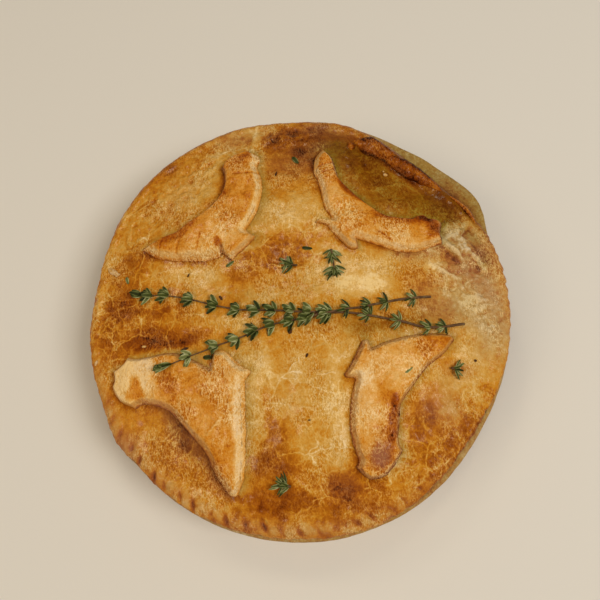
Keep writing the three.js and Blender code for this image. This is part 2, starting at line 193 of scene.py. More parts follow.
# Hen cut-outs: each outline is a ring of smooth stretches with corners between them. A stretch has the
# width of its sloping edge and how pale the cut pastry shows there.
HEN_THICKNESS = 4.2
HEN_DOME = 0.7
HEN_DOME_REACH = 9.0
HEN_SUNK = 0.7
HEN_VOXEL = 0.55
HEN_WAVER = 0.25
HEN_WAVER_SIZE = 5.0
HEN_RAGGED = 0.3
HEN_RAGGED_SIZE = 3.5
HEN_PUFF = ((9, 0.35), (3, 0.25), (1.4, 0.12))
HEN_DOME_LEVELS = (2.5, 4.0)
HEN_PUFF_LEVELS = (2.5, 4.5)
HEN_STEPS = 8
HEN_EDGE_STEPS = 6
LAYER_LEVEL = 2.9
Stretch = namedtuple("Stretch", "slope pale points")
HENS = {
    "hen_lower_left": [
        Stretch(1.4, 0.5, [(-93, -21.5), (-96, -25), (-101.8, -28)]),
        Stretch(1.4, 0.6, [(-101.8, -28), (-101.2, -33), (-102.2, -37), (-98, -44.5), (-89.5, -49.2)]),
        Stretch(3.0, 0.35, [(-89.5, -49.2), (-84, -47.7), (-72, -52), (-63, -62.5), (-53.5, -75),
                            (-49, -87), (-43, -96.5)]),
        Stretch(3.0, 0.9, [(-43, -96.5), (-39, -97), (-34.5, -89)]),
        Stretch(4.6, 1.0, [(-34.5, -89), (-32.5, -73), (-31.2, -52), (-30.5, -42)]),
        Stretch(3.0, 0.9, [(-30.5, -42), (-26.5, -37.5)]),
        Stretch(3.0, 0.9, [(-26.5, -37.5), (-33, -33), (-40, -25), (-46, -25)]),
        Stretch(1.4, 0.5, [(-46, -25), (-48, -34)]),
        Stretch(1.6, 0.4, [(-48, -34), (-58, -27), (-69, -22.5), (-80, -23), (-88.5, -23), (-93, -21.5)]),
    ],
    "hen_lower_right": [
        Stretch(2.4, 0.2, [(32, -27.5), (26, -37), (20.5, -44)]),
        Stretch(1.6, 0.2, [(20.5, -44), (22, -45.7), (26.5, -46)]),
        Stretch(2.8, 0.35, [(26.5, -46), (22.5, -58), (20.5, -70), (21.5, -81), (23, -86.5), (21, -89.5)]),
        Stretch(1.6, 0.1, [(21, -89.5), (24.5, -94), (27, -96)]),
        Stretch(1.6, 0.1, [(27, -96), (34, -95.5), (41, -90), (45.5, -84)]),
        Stretch(1.6, 0.3, [(45.5, -84), (44, -80), (45, -73), (46, -67), (48, -61), (56, -52), (64, -44),
                           (74, -38), (81, -31)]),
        Stretch(1.8, 0.4, [(81, -31), (79, -28), (68, -26.5), (56, -27), (44, -29.2), (36, -32)]),
        Stretch(1.4, 0.4, [(36, -32), (35, -27.5), (32, -27.5)]),
    ],
    "hen_upper_right": [
        Stretch(2.8, 0.75, [(25.5, 93.5), (20, 87), (18, 78), (19.5, 71), (20.5, 64), (21.5, 53),
                            (25.5, 44)]),
        Stretch(1.4, 0.5, [(25.5, 44), (22, 43.5), (18, 44.5), (15, 42)]),
        Stretch(2.2, 0.7, [(15, 42), (21, 40.5), (27, 32), (31, 26), (35, 23.5)]),
        Stretch(1.4, 0.4, [(35, 23.5), (37, 25), (36.5, 31)]),
        Stretch(3.5, 0.7, [(36.5, 31), (46, 26.5), (58, 21.5), (67, 20), (76, 22), (84.5, 24)]),
        Stretch(1.6, 0.2, [(84.5, 24), (85, 30), (87, 37.5), (84, 40.3), (80, 41)]),
        Stretch(1.4, 0.1, [(80, 41), (77, 43.5), (73, 43), (70, 41.5)]),
        Stretch(1.4, 0.0, [(70, 41.5), (57, 44), (47, 52), (38, 63), (32, 72), (30.5, 83), (28.5, 88),
                           (25.5, 93.5)]),
    ],
    "hen_upper_left": [
        Stretch(1.4, 0.0, [(-19.5, 98), (-28, 96), (-34, 91.5), (-36.5, 87)]),
        Stretch(1.4, 0.0, [(-36.5, 87), (-35, 82), (-35, 76), (-37, 70), (-41, 64), (-46, 59), (-58, 51.5),
                           (-64, 48), (-72, 46), (-85, 40)]),
        Stretch(4.0, 0.65, [(-85, 40), (-76, 33.5), (-68, 30.5), (-58, 28.5), (-48, 27), (-39, 28)]),
        Stretch(1.2, 0.3, [(-39, 28), (-38.5, 34)]),
        Stretch(1.2, 0.3, [(-38.5, 34), (-36.8, 28.5), (-33, 25)]),
        Stretch(2.6, 0.6, [(-33, 25), (-23, 33), (-19, 38)]),
        Stretch(1.6, 0.6, [(-19, 38), (-21, 39.5), (-24, 43)]),
        Stretch(3.8, 0.9, [(-24, 43), (-18.5, 52), (-15, 60), (-13, 68), (-13, 74), (-14, 80), (-15, 85),
                           (-13, 89.5), (-14, 93.5)]),
        Stretch(1.6, 0.3, [(-14, 93.5), (-16.5, 95), (-19.5, 98)]),
    ],
}

# Thyme: routes run from the tip to the bare end, and whorls are given by their distance from the tip.
# Leaves sweep towards the tip, and past star_from they stand out like a star. A stem's tip and its growth
# towards the bare end are shares of its radius.
STEM_RADIUS = 0.7
STEM_TIP = 0.45
STEM_GROWTH = 0.6
STEM_SLOPE = 0.3
STEM_STEP = 1.5
Sprig = namedtuple("Sprig", "name seed star_from route whorls")
SPRIGS = [
    Sprig("thyme_sprig_long", 11, 120,
          [(-91, 13), (-72.5, 10), (-59, 6), (-45, 0.5), (-32, -3.5), (-16, -6), (1.5, -9), (17, -11),
           (28, -12), (40, -15), (54, -19), (69, -23.5), (88, -23)],
          [6.5, 11.5, 21.5, 36.5, 50.5, 63, 73, 82, 92, 102, 112, 132, 148, 165, 174]),
    Sprig("thyme_sprig_short", 23, 100,
          [(-77, -32), (-61, -27.5), (-46, -22.5), (-35.5, -20.4), (-25, -17.4), (-16, -14.7), (-7, -13.6),
           (2, -12.8), (15, -11.3), (25, -10.2), (33, -9.5), (47, -8), (61, -7), (72, -7)],
          [5.5, 8.5, 19.5, 34.5, 46.5, 57, 67, 76.5, 85, 95, 107, 119, 129, 144]),
    Sprig("thyme_tip_double", 31, 0, [(22, 9), (22.4, 16), (22, 25)], [2.5, 4.5, 12, 14]),
    Sprig("thyme_tip_middle", 37, 0, [(-5, 19.6), (-1, 18.3), (2.5, 17.4)], [2, 4.5]),
    Sprig("thyme_tip_front", 41, 0, [(-18, -93.6), (-15, -94.6), (-12, -95.4)], [1.5, 4]),
    Sprig("thyme_tip_right", 43, 0, [(82, -46.8), (79.5, -46.2), (77, -45.6)], [3]),
]
TIP_REACH = 10.0
TIP_SPREADS = (0.15, 0.5)
SWEPT_SPREADS = (0.25, 0.8, 1.35)
STAR_SPREADS = (0.4, 1.0, 1.7)
SWEPT_LEAF = (6.0, 3.0)
STAR_LEAF = (5.6, 1.7)
LEAF_THICKNESS = 0.5
LEAF_CLEARANCE = 0.3
# Ranges that each leaf's place, spread, rise, roll, bend, size, curl and fold are drawn from
LEAF_SLIDES = (-0.8, 1.4)
LEAF_SWINGS = (-0.18, 0.18)
LEAF_RISES = (0.0, 0.25)
LEAF_ROLLS = (0.0, 0.5)
LEAF_BENDS = (0.2, 0.4)
LEAF_LENGTHS = (0.8, 1.1)
LEAF_WIDTHS = (0.85, 1.15)
LEAF_CURLS = (-0.2, 0.9)
LEAF_FOLDS = (0.2, 0.75)
# A leaf that is spread less than this stands up more
UPRIGHT_SPREAD = 0.6
UPRIGHT_RISE = 0.35
LOOSE_LEAF_BEND = 0.05
LOOSE_LEAF_SEED = 77
LooseLeaf = namedtuple("LooseLeaf", "at yaw length width")
LOOSE_LEAVES = [
    LooseLeaf((9, 27.4), -15, 5.8, 2.2),
    LooseLeaf((8, 88), -65, 6.4, 2.8),
    LooseLeaf((-94, 23), -80, 4.6, 2.0),
    LooseLeaf((53, -45.7), 27, 6.8, 2.2),
    LooseLeaf((-34, 23), 30, 5.4, 2.2),
    LooseLeaf((-49, -27.5), -10, 5.5, 2.6),
]

# Loose bits on the lid: half length, half width and turn
CRUMB_THICKNESS = 1.1
DARK_BIT_THICKNESS = 0.7
BIT_UNEVEN = 0.35
Bit = namedtuple("Bit", "at long wide turn")
PASTRY_CRUMBS = [
    Bit((-103, 30), 4.2, 1.7, -40),
    Bit((-100, 27.5), 1.6, 1.0, 20),
    Bit((-84, -17), 1.2, 0.8, 0),
    Bit((-112, -22), 1.6, 0.9, 70),
    Bit((61, 74.6), 1.3, 1.2, 0),
    Bit((60.2, 77), 0.6, 0.5, 0),
]
DARK_BITS = [
    Bit((-4.2, 79), 1.8, 0.45, 70),
    Bit((2.7, -32.1), 1.1, 0.6, 60),
    Bit((90.9, -42.7), 0.8, 0.7, 0),
    Bit((-4.8, -18.6), 1.7, 1.2, 80),
    Bit((-40.2, 4), 1.5, 0.7, -60),
    Bit((-61.2, -21.3), 2.0, 0.7, 10),
    Bit((40, -56), 1.4, 0.4, -40),
    Bit((42, 50), 0.5, 0.45, 0),
    Bit((37, 42), 0.5, 0.4, 0),
    Bit((0.5, -64.8), 0.6, 0.4, 0),
    Bit((-24, -13), 2.2, 0.5, -50),
    Bit((-58, 20), 1.2, 0.4, 60),
]

# Browning of the lid, from 0 pale to 1 burnt, with painted shade and painted highlight in places: each patch
# has its place, half length, half width, turn and how much darker it makes the lid. The edges of patches
# wander, in layers of grain.
Patch = namedtuple("Patch", "x y long wide turn amount")
PATCH_WANDER = ((17, 5), (6, 2))
PATCH_CRISP = 1.5


def patches(*rows):
    return [Patch(*row) for row in rows]


LID_BAKE = 0.42
LID_BAKE_GRAINS = ((30, 0.08), (11, 0.10), (4, 0.08))
LID_PATCHES = patches(
    # Far side; (60, 64) and (44, 90) are partly painted shade on the far right
    (8, 106, 28, 9, 0, 0.42), (20, 90, 8, 8, 0, 0.12), (-10, 95, 8, 6, 0, 0.10),
    (12, 95, 7, 4, 0, 0.35), (-2, 100, 8, 6, 0, 0.12), (-70, 94, 18, 5, 40, 0.16),
    (-70, 72, 40, 22, 45, 0.08), (-45, 104, 14, 5, 30, 0.10), (60, 64, 34, 18, -42, 0.07),
    (44, 90, 18, 10, -35, 0.17), (4, 84, 22, 12, 0, 0.20), (-16, 60, 16, 5, 75, -0.15),
    (-16, 110, 10, 4, 100, -0.25), (-32, 104, 12, 6, 30, -0.04), (-62, 72, 14, 11, 50, -0.17),
    (-86, 62, 14, 20, -30, 0.05), (-47, 74, 18, 5, 60, -0.15),
    # Left side
    (-98, 4, 16, 12, 80, 0.34), (-74, -15, 24, 8, 5, 0.42), (-90, 14, 14, 10, 0, 0.18),
    (-105, -12, 12, 6, 100, 0.14), (-88, 36, 12, 7, 20, 0.22), (-62, 14, 18, 6, 0, 0.10),
    (-104, -45, 14, 4, 115, 0.08), (-104, 40, 8, 8, 0, -0.12), (-55, 19, 18, 6, 0, -0.22),
    (-70, -19, 14, 4, 0, 0.14), (-76, 1, 18, 6, 0, 0.22), (-55, -18, 10, 4, 10, 0.10),
    (-48, 10, 14, 8, 0, -0.14), (-92, 26, 12, 6, 0, 0.08),
    # Middle; the pale (36, 11), (36, 3) and (-2, 50) are partly painted sheen
    (-13, 31, 13, 8, 10, 0.15), (2, 24, 9, 8, 0, 0.14), (6, 37, 12, 7, 40, 0.10),
    (-18, 23, 12, 5, -20, 0.08), (-27, 14, 16, 7, -15, 0.14), (-4, -36, 24, 13, 0, -0.03),
    (0, -56, 13, 13, 0, -0.15), (-24, -38, 8, 9, 0, -0.22), (-30, -16, 7, 4, 0, -0.15),
    (36, 11, 26, 13, 0, -0.24), (36, 3, 18, 7, 0, -0.20), (-2, 50, 14, 10, 20, -0.14),
    (-24, -32, 12, 8, -20, -0.13), (18, 45, 8, 8, 0, -0.15), (-38, -12, 14, 6, 0, -0.15),
    (4, 4, 46, 14, 0, -0.05), (6, 46, 14, 12, 0, -0.06), (-6, -50, 16, 8, 0, -0.06),
    (27, -31, 6, 8, 0, -0.12), (-10, 20, 6, 5, 0, 0.12), (-20, 1, 8, 4, 0, -0.12),
    # Right side; (68, 56) and (92, 46) are partly painted shade on the far right, and (46, -17) partly
    # painted shadow above the lower right hen
    (66, 6, 12, 8, -30, 0.16), (76, -8, 8, 6, 0, 0.04), (90, 18, 18, 13, 0, 0.06),
    (92, 11, 12, 8, -35, 0.18), (108, 16, 6, 12, 0, 0.16), (70, -30, 8, 5, -20, 0.20),
    (68, 56, 16, 14, 0, 0.10), (101, 20, 7, 10, 0, 0.14), (92, 46, 12, 10, -50, 0.15),
    (89, 27, 10, 5, -50, -0.10), (96, -11, 6, 5, 0, -0.16), (88, -6, 9, 8, 0, -0.14),
    (79, 9, 8, 4, -30, -0.14), (94, -36, 14, 12, 0, -0.14), (100, -16, 10, 14, 0, -0.14),
    (46, -17, 22, 7, 5, 0.08), (75, -41, 8, 5, 30, 0.06), (95, 21, 18, 6, 0, 0.10),
    (72, -46, 12, 5, 40, -0.02),
    # Near side; (-60, -70) is painted shadow beside the lower left hen
    (-17, -78, 19, 11, 95, 0.24), (-26, -100, 16, 9, -10, 0.34), (-8, -104, 12, 8, 0, 0.06),
    (-30, -84, 6, 10, 100, 0.20), (-5, -86, 8, 6, 0, 0.10), (14, -97, 11, 7, -20, 0.38),
    (12, -106, 8, 5, 0, 0.12), (4, -109, 34, 6, 0, 0.22), (55, -76, 15, 9, 70, 0.26),
    (67, -74, 9, 9, 0, 0.12), (54, -93, 16, 10, 25, 0.19), (-72, -70, 24, 10, -40, 0.10),
    (-28, -62, 26, 5, 92, -0.25), (16, -62, 28, 7, 88, -0.22), (0, -82, 16, 14, 0, -0.12),
    (76, -84, 16, 9, 45, 0.24), (-60, -70, 30, 5, -54, 0.16), (-38, -110, 22, 6, -8, 0.14),
    (20, -86, 7, 9, 0, 0.16), (31, -100, 9, 5, 0, 0.16), (-10, -90, 6, 5, 0, 0.10),
    (-29, -80, 5, 8, 0, 0.12), (82, -76, 26, 8, 52, 0.10), (60, -99, 8, 5, 30, 0.10),
    (90, -70, 6, 8, 0, 0.10), (-50, -92, 24, 6, -36, 0.06), (-56, -88, 24, 5, -38, 0.02),
)
# Tint of the lid: above 0 it turns a dusty pink, below 0 olive and darker, which is partly the olive of
# unglazed pastry and partly painted shade
LID_TINTS = patches(
    # Far side; (46, 88) and (60, 66) are painted shade on the far right, and (-46, 76) painted shadow beside
    # the upper left hen
    (-60, 72, 14, 10, 45, 0.2), (46, 88, 15, 9, -35, -0.7), (-14, 60, 20, 6, 75, -0.3),
    (25, 95, 30, 16, 0, -0.35), (-46, 76, 18, 6, 60, -0.15), (60, 66, 40, 20, -42, -0.9),
    # Middle
    (34, -19, 8, 6, 0, -0.3), (-28, -26, 10, 6, -40, -0.15), (10, 4, 20, 10, 0, -0.15),
    (20, -14, 60, 6, -8, -0.25), (-28, 3, 16, 5, -8, -0.25),
    # Right side; (90, 46) and (102, 50) are painted shade on the far right, and (46, -21) painted shadow
    # above the lower right hen
    (101, 1, 8, 12, 0, 0.5), (108, -10, 6, 8, 0, 0.25), (94, 10, 9, 8, 0, 0.45),
    (88, 27, 9, 6, -50, -0.2), (46, -21, 20, 5, 10, -0.3), (90, 46, 16, 12, -40, -0.65),
    (102, 26, 5, 6, 0, -0.45), (108, 13, 4, 5, 0, -0.4), (60, -15, 34, 8, 0, -0.2),
    (102, 50, 10, 14, 0, -0.3), (82, -47, 8, 6, 0, 0.35),
    # Near side; (-60, -70) is painted shadow beside the lower left hen
    (70, -64, 12, 12, 0, 0.5), (14, -97, 12, 8, -20, 0.15), (-95, -66, 12, 7, -50, 0.4),
    (-28, -60, 30, 6, 92, -0.12), (-60, -70, 30, 5, -54, -0.35),
)
# Where the lid stayed dull and greyish tan, and where it is painted greyer as shade: (-60, -70) is painted
# shadow beside the lower left hen
LID_DULLS_AND_SHADE = patches(
    (100, 6, 20, 34, 0, 1.0), (80, 24, 18, 6, 15, 0.7), (78, -12, 16, 12, 0, 0.6),
    (104, -24, 12, 18, 0, 0.6), (62, 18, 16, 5, -10, 0.5), (86, 58, 14, 10, -45, 0.2),
    (-22, 110, 18, 7, 0, 0.6), (30, 98, 14, 8, 0, 0.5), (18, 88, 30, 12, 0, 0.45),
    (30, 110, 20, 5, -10, 0.6), (-60, -70, 30, 5, -54, 0.6),
)
# Where the glaze has cracked into pale lines
LID_CRACKS = patches(
    (-85, 0, 36, 30, 0, 1.0), (-70, -72, 26, 12, -40, 0.8), (0, -45, 30, 45, 0, 0.6),
    (-10, 30, 40, 20, 0, 0.8), (15, -95, 40, 20, 0, 0.7), (-85, 55, 20, 30, 0, 0.7),
    (90, 20, 20, 30, 0, 0.8), (60, -85, 30, 20, 30, 0.6), (-20, 105, 40, 12, 0, 0.6),
    (60, 62, 30, 20, -40, 0.55),
)
# Where the lid has flaked into small folds
LID_FLAKES = patches(
    (94, 10, 16, 26, 0, 1.0), (93, 36, 10, 8, 0, 0.7), (104, -24, 9, 20, 0, 0.6),
    (86, -62, 12, 28, 35, 0.7), (62, -90, 24, 11, 35, 0.6), (44, 89, 12, 8, -30, 0.5),
    (-42, 93, 16, 8, 30, 0.6), (-60, 76, 24, 12, 45, 0.5), (-86, 62, 10, 24, -30, 0.4),
    (-112, 10, 6, 30, 0, 0.5), (5, 108, 26, 9, 0, 0.7), (-34, -105, 24, 7, -8, 0.6),
    (10, -114, 30, 6, 0, 0.6), (-74, -88, 28, 6, -42, 0.5),
)
# Beside the far and right sides of the hens the glaze didn't reach the lid, which stays pale and olive, and
# beside the other sides the lid is painted darker as painted shade. MARGIN_SIDE is the way that the pale
# sides face.
MARGIN_WIDTH = 3.6
MARGIN_WANDER = 0.5
MARGIN_STEPS = 3
MARGIN_SIDE = (0.85, 0.53)
MARGIN_STRENGTH = 0.8
MARGIN_BAKE = 0.24
MARGIN_TINT = 0.5
SHADE_WIDTH = 2.2
SHADE_BAKE = 0.2
SHADE_TINT = 0.3
# Browning that follows the relief: roll, olive strip, creases, flakes, crimps, lobes, pleats and edge. The
# shade inside the roll is painted shade, the olive strip is partly painted shade, and the paler ridges and
# lobes and darker dents of the creases, flakes and pleats are partly painted highlight and painted shade.
ROLL_LIFT = 1.8
ROLL_UNEVEN = 0.4
ROLL_BAKE = 0.25
ROLL_SHADE_BAKE = 0.4
LOBE_STREAK = 1.2
OLIVE_BAKE = 0.58
OLIVE_TINT = 0.6
CREASE_PALE = 0.38
CREASE_PALE_WIDTH = 0.85
FLAKE_PALE = 0.32
CRIMP_BAKE = 0.62
CRIMP_TINT = 0.42
CRIMP_TINT_REACH = 4.0
LOBE_PALE = 0.13
LOBE_PALE_INSET = 3.0
LOBE_SPOTS = 0.2
PLEAT_PALE = 0.09
PLEAT_PALE_INSET = 6.0
PLEAT_PALE_REACH = 7.0
EDGE_BAKE = 0.10
EDGE_BAKE_REACH = 1.6
# Browning of the case, with its pale flange and the dark gap between the flap and the lid. The flange's
# olive tint and its greying are partly painted shade.
CASE_BAKE = 0.40
CASE_BAKE_GRAINS = ((22, 0.1), (7, 0.1))
CASE_FOOT_BAKE = 0.2
CASE_FOOT_REACH = 8.0
FLANGE_PALE = 0.08
FLANGE_OLIVE_PALE = 0.10
FLANGE_TINT = 0.3
FLANGE_OLIVE_TINT = 0.35
FLAP_GAP_REACH = 1.4
FLAP_GAP_BAKE = 0.5
# Creases of the hens: dents show as dark lines and ridges as pale ones
HEN_CREASES = [
    Crease((-29, 80), (-21, 79), -0.6, 0.6),
    Crease((-21, 79), (-14, 79.5), -0.6, 0.6),
    Crease((20, 79), (30, 81), -0.6, 0.6),
    Crease((19.5, 73), (29, 76), -0.3, 0.5),
    Crease((-51, -67), (-41.5, -57.5), 0.4, 0.6),
    Crease((-62, 40), (-64, 33), -0.4, 0.5),
    Crease((-50, 42), (-52, 33), -0.4, 0.5),
    Crease((-72, 42), (-74, 35), -0.3, 0.5),
    Crease((48, 34), (56, 27), -0.3, 0.5),
]
# Browning of the hens: the top, the baked crust and the pale cut of the edge, its foot, partly painted
# contact shade, its lip, with a painted highlight, and creases
HEN_BAKE = 0.40
HEN_BAKE_GRAINS = ((13, 0.08), (5, 0.08), (2, 0.06))
HEN_PATCH_CRISP = 2.5
HEN_CRUST_BAKE = 0.18
HEN_CUT_BAKE = 0.05
HEN_CUT_GRAIN = 0.06
HEN_FOOT_BAKE_AND_SHADE = 0.32
HEN_LIP_HIGHLIGHT = 0.12
HEN_CREASE_PALE = 0.22
HEN_PATCHES = patches(
    # Lower left hen
    (-91, -32, 15, 13, -20, -0.50), (-89, -39, 7, 3.5, -50, 0.55), (-72, -38, 6, 12, 10, 0.16),
    (-36, -62, 26, 2.5, 92, -0.22), (-48, -82, 8, 5, -60, 0.10), (-34, -34, 10, 4, -40, -0.10),
    (-80, -29, 8, 5, 0, -0.12), (-62, -45, 12, 12, 0, 0.02),
    # Lower right hen
    (36, -84, 5.5, 4.5, 70, 0.24), (36, -82, 12, 8, 70, 0.10), (42, -67, 15, 4, 80, 0.28),
    (70, -30, 12, 5, -15, 0.10), (30, -60, 18, 6, 88, -0.20), (46, -43, 16, 10, 0, -0.20),
    (40, -60, 6, 8, 0, 0.12), (50, -30, 10, 4, 0, -0.14), (30, -50, 6, 6, 0, -0.14),
    # Upper right hen
    (39, 60, 13, 4, -50, 0.44), (64, 41, 18, 4, -12, 0.36), (80, 37, 8, 6, 0, 0.34),
    (25, 80, 14, 5, 90, 0.06), (79, 29, 7, 5, 0, 0.26), (50, 30, 7, 5, 0, 0.18),
    (28, 56, 14, 6, -70, -0.12), (56, 30, 14, 5, -15, -0.14), (56, 46, 40, 24, -30, -0.02),
    # Upper left hen
    (-20, 90, 7, 6, 0, 0.10), (-30, 50, 8, 8, 0, 0.10), (-52, 55, 30, 3.5, 42, 0.22),
    (-74, 43, 10, 4, 15, 0.16), (-40, 38, 3, 2.5, 0, 0.40), (-28, 92, 8, 4, 30, 0.16),
    (-20, 69, 10, 4, 80, 0.10), (-38, 41, 20, 7, 20, -0.14),
)
HEN_TINTS = patches(
    (35.5, -84, 6, 4.5, 70, 1.0),
)

# Photograph's view: focal length in pixels of a 600 pixel frame, the eye's place, its tilt and its roll
FRAME_PIXELS = 600
FOCAL_PIXELS = 520
EYE = (2.11, -86.09, 319.49)
TILT = math.radians(17.6)
ROLL_ANGLE = math.radians(6)
SENSOR = 36


# Small helpers

def bump(angle, bulge):
    """1 at the bulge's middle angle, falling smoothly to 0 at its reach on each side."""
    away = (np.degrees(angle) - bulge.middle + 180) % 360 - 180
    return 0.5 + 0.5 * np.cos(np.pi * np.minimum(np.abs(away) / bulge.reach, 1))


def plateau(angle, bulge, lift=2.0):
    """As bump, but 1 over a stretch round the middle, which is longer for a higher lift."""
    return np.minimum(1, lift * bump(angle, bulge))


def sum_of_bulges(angle, bulges):
    return sum(bulge.out * bump(angle, bulge) for bulge in bulges)


def hill(distance, half):
    """1 at no distance, falling smoothly to about a third at the half width."""
    return np.exp(-((distance / half) ** 2))


def smooth(value, low, high):
    """0 below low and 1 above high, with a smooth rise between them."""
    share = np.clip((value - low) / (high - low), 0, 1)
    return share * share * (3 - 2 * share)


def wave(distance, length, phase=0.0):
    return np.sin(distance / length * TURN + phase)


def waves(distance, layers):
    """Sum of waves, each layer with its length, strength and phase."""
    return sum(strength * wave(distance, length, phase) for length, strength, phase in layers)


def grain(x, y, size, seed):
    """Smooth random unevenness from about -1 to 1, with features of that size. Each use has its own seed."""
    shift = 31.7 * seed
    places = zip(np.ravel(x) / size + shift, np.ravel(y) / size - shift)
    values = np.array([noise.noise((a, b, 0.37 * seed)) for a, b in places])
    return values.reshape(np.shape(x))


def grains(x, y, layers, seed):
    """Sum of grains, each layer with its size and strength. The layers' seeds follow on from the first."""
    return sum(strength * grain(x, y, size, seed + k) for k, (size, strength) in enumerate(layers))


def distance_to_line(x, y, start, end):
    run = np.subtract(end, start)
    share = ((x - start[0]) * run[0] + (y - start[1]) * run[1]) / (run @ run)
    share = np.clip(share, 0, 1)
    return np.hypot(x - start[0] - share * run[0], y - start[1] - share * run[1])


def crease_lines(x, y, creases, strength=float, width=1.0):
    """Soft lines along the creases, each as strong as its height or as what strength makes of it."""
    def line(crease):
        away = distance_to_line(x, y, crease.start, crease.end)
        return strength(crease.height) * hill(away, width * crease.half)
    return sum(line(crease) for crease in creases)


def curve_through(points, steps):
    """Points of a smooth curve through the given ones, with that many steps to each span."""
    points = np.asarray(points, float)
    padded = np.concatenate([points[:1], points, points[-1:]])
    share = np.arange(steps)[:, None] / steps
    spans = []
    for before, here, there, after in zip(padded, padded[1:], padded[2:], padded[3:]):
        leave = (there - before) / 2
        arrive = (after - here) / 2
        cubic = 2 * here - 2 * there + leave + arrive
        square = -3 * here + 3 * there - 2 * leave - arrive
        spans.append(((cubic * share + square) * share + leave) * share + here)
    return np.concatenate(spans + [points[-1:]])


def patch_sum(x, y, patches, seed, crisp=PATCH_CRISP):
    """Sum of soft oval patches whose edges wander."""
    x = x + grains(x, y, PATCH_WANDER, seed)
    y = y + grains(x, y, PATCH_WANDER, seed + 2)
    total = np.zeros(np.shape(x))
    for patch in patches:
        turn = math.radians(patch.turn)
        along = ((x - patch.x) * math.cos(turn) + (y - patch.y) * math.sin(turn)) / patch.long
        across = ((y - patch.y) * math.cos(turn) - (x - patch.x) * math.sin(turn)) / patch.wide
        total += patch.amount * np.exp(-((along ** 2 + across ** 2) ** crisp))
    return total


# Plan and heights of the pie

def oval_radius(angle):
    return 1 / np.hypot(np.cos(angle) / RIM_HALF_WIDTH, np.sin(angle) / RIM_HALF_DEPTH)


def rim_radius(angle):
    return oval_radius(angle) + sum_of_bulges(angle, RIM_BULGES)


def flange_radius(angle):
    return rim_radius(angle) + sum_of_bulges(angle, [FLAP, FLAP_SHOULDER])


def lid_radius(angle):
    return rim_radius(angle) - LID_SETBACK - sum_of_bulges(angle, LID_SETBACKS)


def inset(x, y):
    """How far a place lies in from the edge of the lid."""
    return lid_radius(np.arctan2(y, x)) - np.hypot(x, y)


def lid_underside(x, y):
    run = min(RIM_HALF_WIDTH, RIM_HALF_DEPTH) - RIM_BAND
    share = np.clip((inset(x, y) - RIM_BAND) / run, 0, 1)
    return LID_FOOT + DOME_HEIGHT * (1 - (1 - share) ** 2)


def unevenness(x, y):
    swell = SWELL * wave(x, SWELL_WAVE, SWELL_PHASE[0]) * wave(y, SWELL_WAVE, SWELL_PHASE[1])
    ripple = RIPPLE * wave(x + y, RIPPLE_WAVES[0]) * wave(x - y, RIPPLE_WAVES[1])
    return (swell + ripple) * smooth(inset(x, y), 0, SWELL_FADE)


def roll_height(x, y):
    """The burnt roll: steep on its inner side, lumpy along its length."""
    angle = np.arctan2(y, x)
    off = inset(x, y) - ROLL_INSET
    half = np.where(off > 0, ROLL_HALF_IN, ROLL_HALF_OUT)
    lumps = 1 + ROLL_LUMPS * wave(angle, ROLL_LUMP_WAVES[0]) * wave(angle, ROLL_LUMP_WAVES[1], 1)
    return ROLL.out * bump(angle, ROLL) * hill(off, half) * lumps


def folds(x, y):
    """The burnt roll, the hollow inside it and the creases."""
    hollow = HOLLOW_DEPTH * hill(np.hypot(x - HOLLOW_AT[0], y - HOLLOW_AT[1]), HOLLOW_RADIUS)
    return roll_height(x, y) - hollow + crease_lines(x, y, LID_CREASES)


def lid_form(x, y):
    """Height of the lid's top without its crimps and blisters."""
    drop = EDGE_DROP * np.maximum(1 - inset(x, y) / EDGE_RUN, 0) ** 2
    return lid_underside(x, y) + LID_THICKNESS + unevenness(x, y) + folds(x, y) - drop


def crimp_groove(angle, into):
    """1 in the bottom of a crimp and 0 between crimps, each crimp a little off its even place."""
    turns = np.asarray(angle) / TURN * CRIMP_COUNT + CRIMP_SLANT * (into - CRIMP_INSET)
    nearest = np.rint(turns).astype(int) % CRIMP_COUNT
    aside, further, deeper = (row[nearest] for row in CRIMP_CHANCE)
    off = turns - np.rint(turns) + CRIMP_JITTER * (aside - 0.5)
    along = hill(into - CRIMP_INSET - CRIMP_WANDER * (further - 0.5), CRIMP_LENGTH)
    depth = CRIMP_SHALLOWEST + (1 - CRIMP_SHALLOWEST) * deeper
    return depth * hill(off, CRIMP_WIDTH) * along * plateau(angle, CRIMPED)


def crimp_lobes(angle, into, middle):
    """1 on the raised lobes between the crimps."""
    return plateau(angle, CRIMPED) * hill(into - middle, LOBE_REACH) * (1 - crimp_groove(angle, into))


def flakes(x, y):
    """Small sharp folds where the lid has flaked, from about -1 to 1."""
    where = np.clip(patch_sum(x, y, LID_FLAKES, 30), 0, 1)
    ridges = 0
    for k, (size, share) in enumerate(FLAKE_LAYERS):
        ridges += share * (1 - FLAKE_SHARPNESS * np.abs(grain(x, y, size, 20 + k)))
    return where * ridges


def pleats(angle):
    """Fine radial pleats, from -1 to 1, on the lower right of the rim, uneven in spacing and depth."""
    turns = np.asarray(angle) / TURN * PLEAT_COUNT + waves(angle, PLEAT_SWAYS)
    beat = wave(angle, PLEAT_FADE_WAVES[0], 1) * wave(angle, PLEAT_FADE_WAVES[1])
    return wave(turns, 1.0) * (1 - PLEAT_FADE + PLEAT_FADE * beat) * bump(angle, PLEATED)


def lid_skin(x, y):
    """Fine relief of the lid: crimps, the lobes between them, pleats and blisters."""
    angle, into = np.arctan2(y, x), inset(x, y)
    lobe = LOBE_HEIGHT * crimp_lobes(angle, into, LOBE_INSET)
    groove = CRIMP_DEPTH * crimp_groove(angle, into)
    pleat = PLEAT_HEIGHT * pleats(angle) * hill(into - PLEAT_INSET, PLEAT_LENGTH / 2)
    return grains(x, y, BLISTERS, 10) + lobe - groove + pleat + FLAKE_HEIGHT * flakes(x, y)


